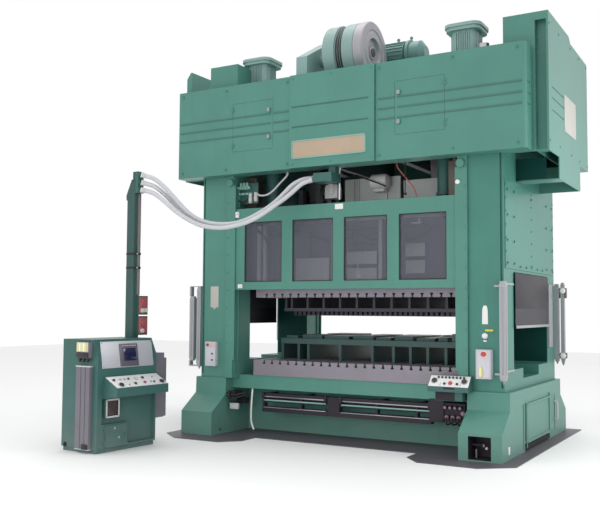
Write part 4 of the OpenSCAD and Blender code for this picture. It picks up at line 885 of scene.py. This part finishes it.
def right_column_items():
    """A tapered blank tag, a yellow hook, a round lamp and a blank label on the right upright; on the stop box
    a yellow pull and a bevelled ring under the mushroom."""
    at = COLUMN_FACE
    tag = np.array([(2.284, 1.852), (2.372, 1.852), (2.366, 2.06), (2.352, 2.112), (2.306, 2.112), (2.29, 2.06)])
    piece("right_tag", on_face(slab(tag, 0, 0.006, 0.002, 2, both=False), at, FRONT), white_plastic)
    piece("right_hook", on_face(plate((2.335, 1.752), (2.45, 1.782), 0.03, 0.013), at, FRONT), yellow_plastic)
    piece("right_lamp", boss([(0.042, 0.02), (0.032, 0.034), (0.016, 0.042)], 0.044, (2.327, column_front, 1.688),
                             FRONT, 28), white_plastic)
    piece("right_label", on_face(plate((2.302, 1.606), (2.35, 1.628), 0.003, 0.003), at, FRONT), white_plastic)
    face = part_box("stop_box")[0][1]
    pull = [(0, 0), (0.018, 0.006), (0.026, 0.04), (0.024, 0.1), (0.014, 0.145), (0, 0.155)]
    piece("stop_box_pull", turned(pull, (2.296, face - 0.01, 1.115)), pale_yellow)
    piece("stop_box_ring", on_face(collar(0.038, 0.008, 32), (2.345, face, 1.44), FRONT), white_plastic)
    piece("stop_box_lid", on_face(frame_ring((2.235, 1.105), (2.43, 1.49), 0.008, 0.003), (0, face, 0), FRONT),
          pale_grey)


def left_column_items():
    """A blank tag with a pointed foot, a control box with one button and two slots, and a lifting eye, on the left
    upright."""
    tag = np.array([(-2.425, 2.075), (-2.375, 2.07), (-2.345, 2.035), (-2.315, 2.07), (-2.262, 2.075),
                    (-2.262, 2.425), (-2.425, 2.425)])
    piece("left_tag", on_face(slab(tag, 0, 0.005, 0.0015, 2, both=False), COLUMN_FACE, FRONT), stone_paint)
    face = column_front - 0.085
    at = (0, face, 0)
    piece("left_control_box", box((-2.468, face, 1.095), (-2.258, column_front + 0.002, 1.5), 0.006), lilac_paint)
    piece("left_box_strip", on_face(plate((-2.455, 1.415), (-2.27, 1.485), 0.004), at, FRONT), rose_plastic)
    buttons("left_box_button", at, FRONT, [(-2.41, 1.448)], 0.02, dark_rose, lift=0.003)
    piece("left_box_slots", [on_face(plate((-2.34, z), (-2.305, z + 0.026), 0.004, 0.004), at, FRONT)
                             for z in (1.29, 1.185)], black_plastic)
    tube = ring(0.009, 12)[list(range(12)) + [0]] + [0.03, 0]
    piece("left_eye", turned(tube, (-2.03, column_front - 0.02, 1.478), FRONT, 28), shade_paint)
    stud = [(0, 0), (0.016, 0.004), (0.022, 0.02), (0.016, 0.036), (0, 0.042)]
    piece("left_stud", turned(stud, (-2.078, column_front, 1.53), FRONT, 20), white_plastic)


guard_fittings()
column_bolts()
right_column_items()
left_column_items()


# ---- Operator panel and hydraulic unit ----

PANEL_TILT = math.radians(46.97)
SLOPE = (0, -math.sin(PANEL_TILT), math.cos(PANEL_TILT))
PANEL_AT = (0, -1.62, 1.045)


def operator_face():
    """Pale face sheet on the sloping box, a row of eight buttons with a row of mixed ones below it, and rings round
    the palm buttons; under the box a slot, a gusset and the rail's end sheet."""
    piece("panel_face", on_face(plate((1.566, -0.097), (2.154, 0.097), SHEET_T, 0.01), PANEL_AT, SLOPE), face_paint)
    for name, places, r, look, rim, h in (
            ("keys_upper", [(1.69 + 0.0535 * k, 0.062) for k in range(8)], 0.0145, black_plastic, grey_paint, 0.016),
            ("keys_lower", [(1.8, -0.05), (1.985, -0.05)], 0.016, black_plastic, grey_paint, 0.016),
            ("key_red", [(1.885, -0.04)], 0.026, red_plastic, rose_plastic, 0.024),
            ("lamps", [(1.73, -0.05), (2.03, -0.056)], 0.012, white_plastic, grey_paint, 0.01)):
        buttons("panel_" + name, PANEL_AT, SLOPE, places, r, look, rim, h, SHEET_T)
    front = (0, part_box("operator_panel")[0][1], 0)
    piece("panel_slot", on_face(plate((1.79, 0.94), (1.96, 0.962), 0.003), front, FRONT), black_paint)
    piece("panel_gusset", box((1.645, -1.604, 0.775), (1.93, -1.599, 0.896), 0.002), black_paint)
    piece("rail_end_sheet", box((1.425, -1.272, 0.415), (1.645, -1.25, 0.755), 0.003), black_paint)
    palm_rings("panel_rings", PANEL_AT, SLOPE, [(1.64, 0), (2.08, 0)])


def unit_fittings():
    """Bright unions on the hydraulic units' ports, with short bent lines that run back under the bed."""
    nut, cap = [(0.028, 0.018), (0.02, 0.024), (0.02, 0.034)], [(0.034, 0.014), (0.024, 0.026)]
    unions = [boss(nut, 0.036, (1.68 + 0.075 * i, -1.298, 0.64), FRONT, 6) for i in range(4)]
    ports = [1.7 + 0.09 * i for i in range(3)]
    unions += [boss(cap, 0.028, (x, -1.288, 0.5), FRONT, 20) for x in ports]
    big = [(0.04, 0.02), (0.03, 0.034), (0.016, 0.036), (0.016, 0.046)]
    piece("unit_unions", unions + [boss(big, 0.046, (1.935, -1.25, 0.56), FRONT, 28)], rose_metal)
    bend = ((0, -1.31, 0.5), (0.005, -1.345, 0.485), (0.01, -1.352, 0.45), (0.01, -1.33, 0.405),
            (0.01, -1.26, 0.395), (0.01, -1.1, 0.395))
    piece("unit_lines", [pipe([(x + d, y, z) for d, y, z in bend], 0.011) for x in ports], belt_rubber,
          slot="dark_steel")
    loop = ((0, -1.468, 0), (0, -1.49, 0), (0.01, -1.5, -0.03), (0.02, -1.49, -0.06), (0.03, -1.43, -0.075),
            (0.05, -1.2, -0.08))
    arc = ((-2.3, -1.42, 0.63), (-2.2, -1.44, 0.665), (-2.06, -1.46, 0.66), (-1.94, -1.44, 0.63),
           (-1.84, -1.38, 0.655), (-1.79, -1.28, 0.665))
    lines = [pipe([(-2.005 + a, y, z + c) for a, y, c in loop], 0.01) for z in (0.595, 0.665)]
    lines += [pipe([(x, y, z + d) for x, y, z in arc], 0.013) for d in (0.0, -0.045)]
    piece("left_unit_lines", lines, belt_rubber, slot="dark_steel")
    piece("left_junction_box", box((-2.01, -1.455, 0.405), (-1.85, -1.4, 0.5), 0.006), pale_grey)
    drain = [(-1.7, -1.235, 0.745), (-1.7, -1.25, 0.66), (-1.705, -1.262, 0.5), (-1.706, -1.27, 0.36),
             (-1.7, -1.275, 0.22), (-1.672, -1.28, 0.13), (-1.64, -1.285, 0.075)]
    piece("left_drain_tube", pipe(drain, 0.015), white_plastic)


def die_rail_trim():
    """Bright roller strips and a rod along the die rail, with end stops."""
    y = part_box("die_rail")[0][1]
    spans = (-1.485, -0.33), (-0.06, 1.405)
    piece("rail_strips", [box((a, y - d, z0), (b, y + 0.002, z1), 0.002) for a, b in spans
                          for d, z0, z1 in ((0.01, 0.612, 0.628), (0.008, 0.438, 0.45))], steel_metal)
    piece("rail_rods", [boss([(0.013, b - a)], b - a, (a, y + 0.012, 0.56), RIGHT, 16) for a, b in spans], pale_green)
    piece("rail_stops", [box((x - 0.022, y - 0.03, 0.585), (x + 0.022, y + 0.004, 0.69), 0.005)
                         for x in (-1.49, -0.33, -0.06, 1.41)], black_paint)


operator_face()
unit_fittings()
die_rail_trim()


# ---- Light curtains and side guards ----

def curtain_details():
    """Dark lens strips down the curtain bars, cable connectors at their ends and boxes with round caps at the rear."""
    strips = ((2.604, 1.16, 2.636, 2.37, -1.6), (-2.656, 1.18, -2.624, 2.34, -1.5),
              (-2.8, 1.24, -2.77, 2.19, -1.5))
    piece("curtain_lenses", [on_face(plate((a, c), (b, d), 0.003, 0.004), (0, y, 0), FRONT)
                             for a, c, b, d, y in strips], lens_grey)
    piece("curtain_side_strips", on_face(plate((-1.573, 1.16), (-1.537, 2.37), 0.003, 0.004), (2.665, 0, 0), RIGHT),
          grey_paint)
    plug = [(0.022, 0.02), (0.012, 0.024), (0.012, 0.046)]
    ends = ((2.62, -1.555, 1.08), (-2.64, -1.46, 1.085), (2.64, 1.49, 1.2), (2.74, 1.49, 1.18),
            (-2.64, 1.49, 1.2), (-2.74, 1.49, 1.18))
    piece("curtain_plugs", [boss(plug, 0.048, at, DOWN, 16) for at in ends], grey_paint)
    piece("curtain_boxes", [box((2.69, 1.455, 1.25), (2.795, 1.545, 1.34), 0.006),
                            box((2.69, 1.455, 2.26), (2.8, 1.545, 2.43), 0.006)], brown_paint)
    piece("curtain_collars", [on_face(collar(0.036, 0.012, 28), at, FRONT)
                              for at in ((2.742, 1.455, 1.295), (2.745, 1.455, 2.385))], white_plastic)


def side_guard_rail():
    """Bright channel along the bottom of each side guard and a grey upper sheet, both riding on the guard."""
    for side, s in (("right", 1), ("left", -1)):
        body = "side_guard_" + side
        low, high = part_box(body)
        x, base = (high if s > 0 else low)[0], low[2]
        piece("side_guard_channel_" + side, box((x, -0.955, base - 0.002), (x + s * 0.006, 0.955, base + 0.038), 0.002),
              bright_metal, body, "silver")
        piece("side_guard_sheet_" + side, box((s * 2.6135, -0.957, base + 0.285), (s * 2.6245, 0.957, base + 0.797),
                                              0.002), slate_paint, body)


curtain_details()
side_guard_rail()


# ---- Feet ----

SHADE_SHEET_T = 0.0005
foot_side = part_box("bed")[1][0]


def shade_sheets():
    """Painted shade: dark sheets inside the front and rear pockets of the feet and down the jambs of the side windows,
    standing for the shade in these recesses.
    """
    x0, x1, z0, z1 = 2.21, 2.53, 0.03, 0.345
    y0, y1 = 1.54, 1.862
    sheets = ((x0, x1, 1.539, 1.542, z0, z1), (x0 - 0.001, x0 + 0.002, y0, y1, z0, z1),
              (x1 - 0.002, x1 + 0.001, y0, y1, z0, z1), (x0, x1, y0, y1, z1 - 0.002, z1 + 0.001),
              (x0, x1, y0, y1, z0 - 0.001, z0 + 0.002))
    # The pocket sheets are near-black painted shade.
    piece("pocket_shade_sheets", [box((a, t * c, e), (b, t * d, f), SHADE_SHEET_T, 1) for t in (-1, 1)
                             for a, b, c, d, e, f in sheets], black_paint)
    piece("window_shade_sheets", [box((s * 1.945, t * 0.979, 1.215), (s * 2.59, t * 0.981, 2.59), SHADE_SHEET_T, 1)
                             for s in SIDES for t in SIDES], deep_shade_paint)


def foot_details():
    """Framed access sheet and its handle on each foot's outer face, a near-black sheet of painted shade where the gap
    under it lies, and the lubrication fittings in the right foot's front recess."""
    grip = [(0, 0.575), (0.05, 0.565), (0.058, 0.5), (0.058, 0.36), (0.05, 0.295), (0, 0.285)]
    gap = np.array([(-0.72, 0.03), (0.73, 0.03), (0.73, 0.1), (-0.64, 0.1), (-0.72, 0.06)])
    for name, s in (("", 1), ("_left", -1)):
        at, out = (s * foot_side, 0, 0), (s, 0, 0)
        ribs = [plate((s * y - 0.02, 0.05), (s * y + 0.02, 0.7), 0.01, 0.008) for y in (-0.8, -0.64)]
        piece("foot_sheet_ribs" + name, on_face(joined(ribs), at, out), press_paint)
        low, high = sorted((s * -0.6, s * 1.08))
        piece("foot_sheet" + name, on_face(frame_ring((low, 0.115), (high, 0.69), 0.03, 0.008), at, out), press_paint)
        piece("foot_handle" + name, pipe([(s * (foot_side + d), 1.02, z) for d, z in grip], 0.014), pale_grey)
        # A near-black slab of painted shade where the gap under the access sheet lies.
        piece("foot_gap_shade" + name, on_face(slab((gap * [s, 1])[::s], 0, 0.002), at, out), black_shade_paint)
    piece("foot_tag", on_face(plate((-1.575, 0.085), (-1.505, 0.19), 0.004), (foot_side, 0, 0), RIGHT), white_plastic)
    y = -1.64
    piece("foot_unions", [boss([(0.02, 0.03), (0.012, 0.04)], 0.044, (x, y, z), FRONT, 16)
                          for x, z in ((2.17, 0.175), (2.355, 0.2), (2.405, 0.165))], white_plastic,
          slot="machined_steel")
    hose = [(2.17, y - 0.03, 0.175), (2.21, y - 0.05, 0.205), (2.26, y - 0.05, 0.21), (2.32, y - 0.05, 0.205),
            (2.355, y - 0.03, 0.2)]
    piece("foot_hose", pipe(hose, 0.016), slate_paint)
    drop = [(2.258, y - 0.02, 0.145), (2.258, y - 0.022, 0.1), (2.258, y - 0.022, 0.05), (2.258, y - 0.02, 0.032)]
    piece("foot_pipe", pipe(drop, 0.012), grey_paint)


shade_sheets()
foot_details()


# ---- Console ----

CONSOLE_AT = (-2.434, -4.076, 0.0)
CONSOLE_TURN = rotation_z(math.radians(86))
SHELF_ANGLE = math.atan2(0.15, 0.271)
SLANT_ANGLE = math.atan2(0.066, 0.41)
C_FRONT = CONSOLE_TURN @ FRONT
C_SHELF = CONSOLE_TURN @ [0, -math.sin(SHELF_ANGLE), math.cos(SHELF_ANGLE)]
C_SLANT = CONSOLE_TURN @ [0, -math.cos(SLANT_ANGLE), math.sin(SLANT_ANGLE)]
BEZEL_T = 0.018
BAND_LEVELS = (2.655, 2.87)


def console_piece(name, shapes, material, **how):
    """A piece from shapes in the console's own axes, X along its front and Y towards its back, put in place."""
    piece(name, moved(joined(shapes), CONSOLE_AT, CONSOLE_TURN), material, **how)


def console_point(x, y, z):
    """The world point of a place in the console's own axes."""
    return np.array(CONSOLE_AT) + CONSOLE_TURN @ [x, y, z]


def instrument_sheet():
    """Bright slanting sheet with a screw near every corner, and on its raised bezel a screen in a lip and a row of
    small keys."""
    slant = console_point(0, 0, 1.18)
    lifted = face_places(slant, C_SLANT, [(0, 0)], BEZEL_T)[0]
    keys = [plate((u - 0.009, 0.316), (u + 0.009, 0.328), 0.004, 0.003) for u in (0.5 + 0.031 * k for k in range(9))]
    for name, shape, at, look in (
            ("sheet", plate((0.085, 0.01), (1.105, 0.392), 0.006), slant, sheet_silver),
            ("bezel", plate((0.432, 0.022), (0.792, 0.352), BEZEL_T, 0.012), slant, bezel_paint),
            ("screen", plate((0.5, 0.098), (0.748, 0.285), 0.003, 0.008), lifted, screen_glass),
            ("screen_lip", frame_ring((0.488, 0.086), (0.76, 0.297), 0.012, 0.006), lifted, bezel_paint),
            ("screen_keys", joined(keys), lifted, pale_grey)):
        piece("console_" + name, on_face(shape, at, C_SLANT), look)
    corners = [(u, v) for u in (0.105, 1.085) for v in (0.03, 0.372)]
    piece("console_sheet_screws", screws(slant, C_SLANT, corners, 0.008, 0.005, 0.006), steel_metal)


def console_shelf():
    """Pale shelf sheet with two rows of buttons and a ring round each palm button."""
    shelf = console_point(0, 0, 1.075)
    piece("shelf_sheet", on_face(plate((0.128, -0.303), (1.142, -0.02), SHEET_T), shelf, C_SHELF), face_paint)
    for name, places, r, look, rim, h in (
            ("keys_large", [(0.203, -0.118), (0.77, -0.112), (0.527, -0.24)], 0.021, black_plastic, grey_paint, 0.016),
            ("keys_small", [(0.485, -0.116), (0.906, -0.238)], 0.016, black_plastic, grey_paint, 0.016),
            ("keys_grey", [(0.323, -0.12), (0.404, -0.119), (0.959, -0.119), (0.841, -0.23)], 0.014, grey_paint,
             pale_grey, 0.016),
            ("key_rose", [(0.632, -0.12)], 0.022, rose_plastic, grey_paint, 0.016),
            ("key_red", [(0.709, -0.24)], 0.021, dark_rose, rose_plastic, 0.024),
            ("key_tan", [(0.393, -0.258)], 0.014, tan_paint, pale_grey, 0.016)):
        buttons("shelf_" + name, shelf, C_SHELF, places, r, look, rim, h, SHEET_T)
    palm_rings("shelf_rings", shelf, C_SHELF, [(0.25, -0.2457), (1.06, -0.2457)])


def console_openings():
    """Framed window with brown glass, and two bright studs on the lower door."""
    piece("window_frame", on_face(frame_ring((0.168, 0.487), (0.425, 0.752), 0.024, 0.006), console_point(0, 0, 0),
                                  C_FRONT), pale_grey)
    piece("window_glass", on_face(plate((0.182, 0.502), (0.408, 0.733), 0.004, 0.003), console_point(0, 0.02, 0),
                                  C_FRONT), brown_glass)
    studs = [moved(collar(0.014, 0.008), (u, v, 0)) for u, v in ((0.328, 0.334), (0.408, 0.196))]
    piece("console_door_studs", on_face(joined(studs), console_point(0, -0.016, 0), C_FRONT), bright_metal,
          "console_door")


def console_side_parts():
    """On the console's left end: connectors below the upper box, its yellow and white marker strips, a plug under the
    trunking and, low down, a near-black disc of painted shade for the cable entry."""
    console_piece("marker_plate", [box((-0.074, 0.125, 1.425), (-0.069, 0.362, 1.562), 0.002)], pale_grey)
    console_piece("marker_yellow", [box((-0.086, a, 1.432), (-0.073, b, 1.555), 0.003)
                                    for a, b in ((0.15, 0.19), (0.232, 0.272), (0.314, 0.35))], yellow_soft)
    console_piece("marker_white", [box((-0.084, a, 1.434), (-0.073, b, 1.553), 0.003)
                                   for a, b in ((0.192, 0.23), (0.274, 0.312))], white_plastic)
    console_piece("socket_block", [box((-0.086, 0.115, 1.345), (-0.066, 0.362, 1.418), 0.006)], black_plastic)
    gland = [(0.026, 0.025), (0.018, 0.035), (0.018, 0.06)]
    console_piece("socket_glands", [boss(gland, 0.062, (-0.045, y, 1.342), DOWN, 18) for y in (0.16, 0.24, 0.32)],
                  black_plastic)
    console_piece("trunking_plug", [box((-0.078, 0.112, 0.062), (-0.056, 0.232, 0.135), 0.006)], black_plastic)
    console_piece("trunking_caps", [box((-0.066, 0.096, a), (0.0, 0.384, b))
                                    for a, b in ((1.212, 1.232), (0.052, 0.066))], pale_grey)
    # A near-black disc of painted shade for the cable entry.
    console_piece("cable_entry_shade", [boss([(0.034, 0.006), (0.024, 0.01)], 0.01, (0.0, 0.65, 0.09), LEFT, 24)],
                  black_shade_paint, slot="button_black")


def mast_parts():
    """Cable duct up the mast's front, two clamping bands, and the socket plates with their round caps."""
    front = 0.313
    console_piece("mast_duct", [box((1.026, front - 0.022, 2.25), (1.078, front + 0.001, 3.82))], duct_paint)
    console_piece("mast_bands", [box((0.952, front - 0.028, z), (1.085, front + 0.159, z + 0.035), 0.003)
                                 for z in BAND_LEVELS], black_paint)
    console_piece("mast_band_studs", [boss([(0.014, 0.016)], 0.02, (1.0, front - 0.027, z + 0.017), FRONT, 16)
                                      for z in BAND_LEVELS], pale_green, slot="machined_steel")
    console_piece("socket_plates", [box((1.04, 0.256, z), (1.215, 0.27, z + 0.25), 0.006)
                                    for z in (1.66, 1.97)], brick_paint)
    console_piece("socket_caps", [boss([(0.036, 0.022), (0.028, 0.034)], 0.036, (x, 0.257, z), FRONT, 24)
                                  for x, z in ((1.1, 2.015), (1.165, 2.02), (1.1, 1.705))], stone_paint)
    console_piece("socket_flaps", [boss([(0.05, 0.018), (0.042, 0.026)], 0.028, (1.125, 0.257, z), FRONT, 28)
                                   for z in (2.13, 1.82)], brick_paint)


def conduit_collars():
    """A threaded collar at each end of every hose."""
    collars = []
    for route in ROUTES.values():
        for end, inward in ((0, 1), (-1, -2)):
            at = np.array(route[end])
            along = unit(np.array(route[inward]) - at)
            collars.append(boss([(0.045, 0.03), (0.041, 0.034), (0.041, 0.06)], 0.06, at, along, 18))
    piece("conduit_collars", collars, pale_grey)


instrument_sheet()
console_shelf()
console_openings()
console_side_parts()
mast_parts()
conduit_collars()


# ---- Floor and light ----

GROUND_HALF = 30
LAMPS = (("key", (-3, -15, 9), (0, 0, 3), 8, 40, True), ("fill", (6.2, -0.8, 3.2), (2.6, -0.2, 3.3), 2.5, 105, True),
         ("top", (0, 0, 15), (0, 0, 0), 9, 560, True), ("low", (0.5, -10, 0.9), (0, 0, 1.6), 5, 300, False))


def lay_floor():
    """A wide pale sheet on the ground plane."""
    g = GROUND_HALF
    mesh = bpy.data.meshes.new("ground")
    mesh.from_pydata([(-g, -g, 0), (g, -g, 0), (g, g, 0), (-g, g, 0)], [], [[0, 1, 2, 3]])
    ground = bpy.data.objects.new("ground", mesh)
    bpy.context.scene.collection.objects.link(ground)
    m, w, s = new_material("ground_pale")
    w.put(w.mix(w.noise(w.place(), 0.4, 2.0), tint((0.84,) * 3), tint((0.87,) * 3)), s["Base Color"])
    s["Roughness"].default_value = 0.75
    mesh.materials.append(m)


def area_light(name, at, towards, size, power, glossy):
    """A square lamp that faces a point."""
    data = bpy.data.lights.new(name, "AREA")
    data.size, data.energy = size, power
    lamp = bpy.data.objects.new(name, data)
    turn = facing(np.array(at, float) - np.array(towards, float))
    lamp.matrix_world = Matrix.LocRotScale(at, Matrix(turn.tolist()), None)
    lamp.visible_camera, lamp.visible_glossy = False, glossy
    bpy.context.scene.collection.objects.link(lamp)


def light_studio():
    """Even white surroundings with soft lamps from the front left, the right, above and low in front."""
    world = bpy.data.worlds.new("studio")
    world.use_nodes = True
    surround = world.node_tree.nodes["Background"].inputs
    surround["Color"].default_value, surround["Strength"].default_value = tint((1, 1, 1)), 1.0
    bpy.context.scene.world = world
    for lamp in LAMPS:
        area_light(*lamp)
    bpy.context.scene.view_settings.view_transform = "Standard"


lay_floor()
light_studio()
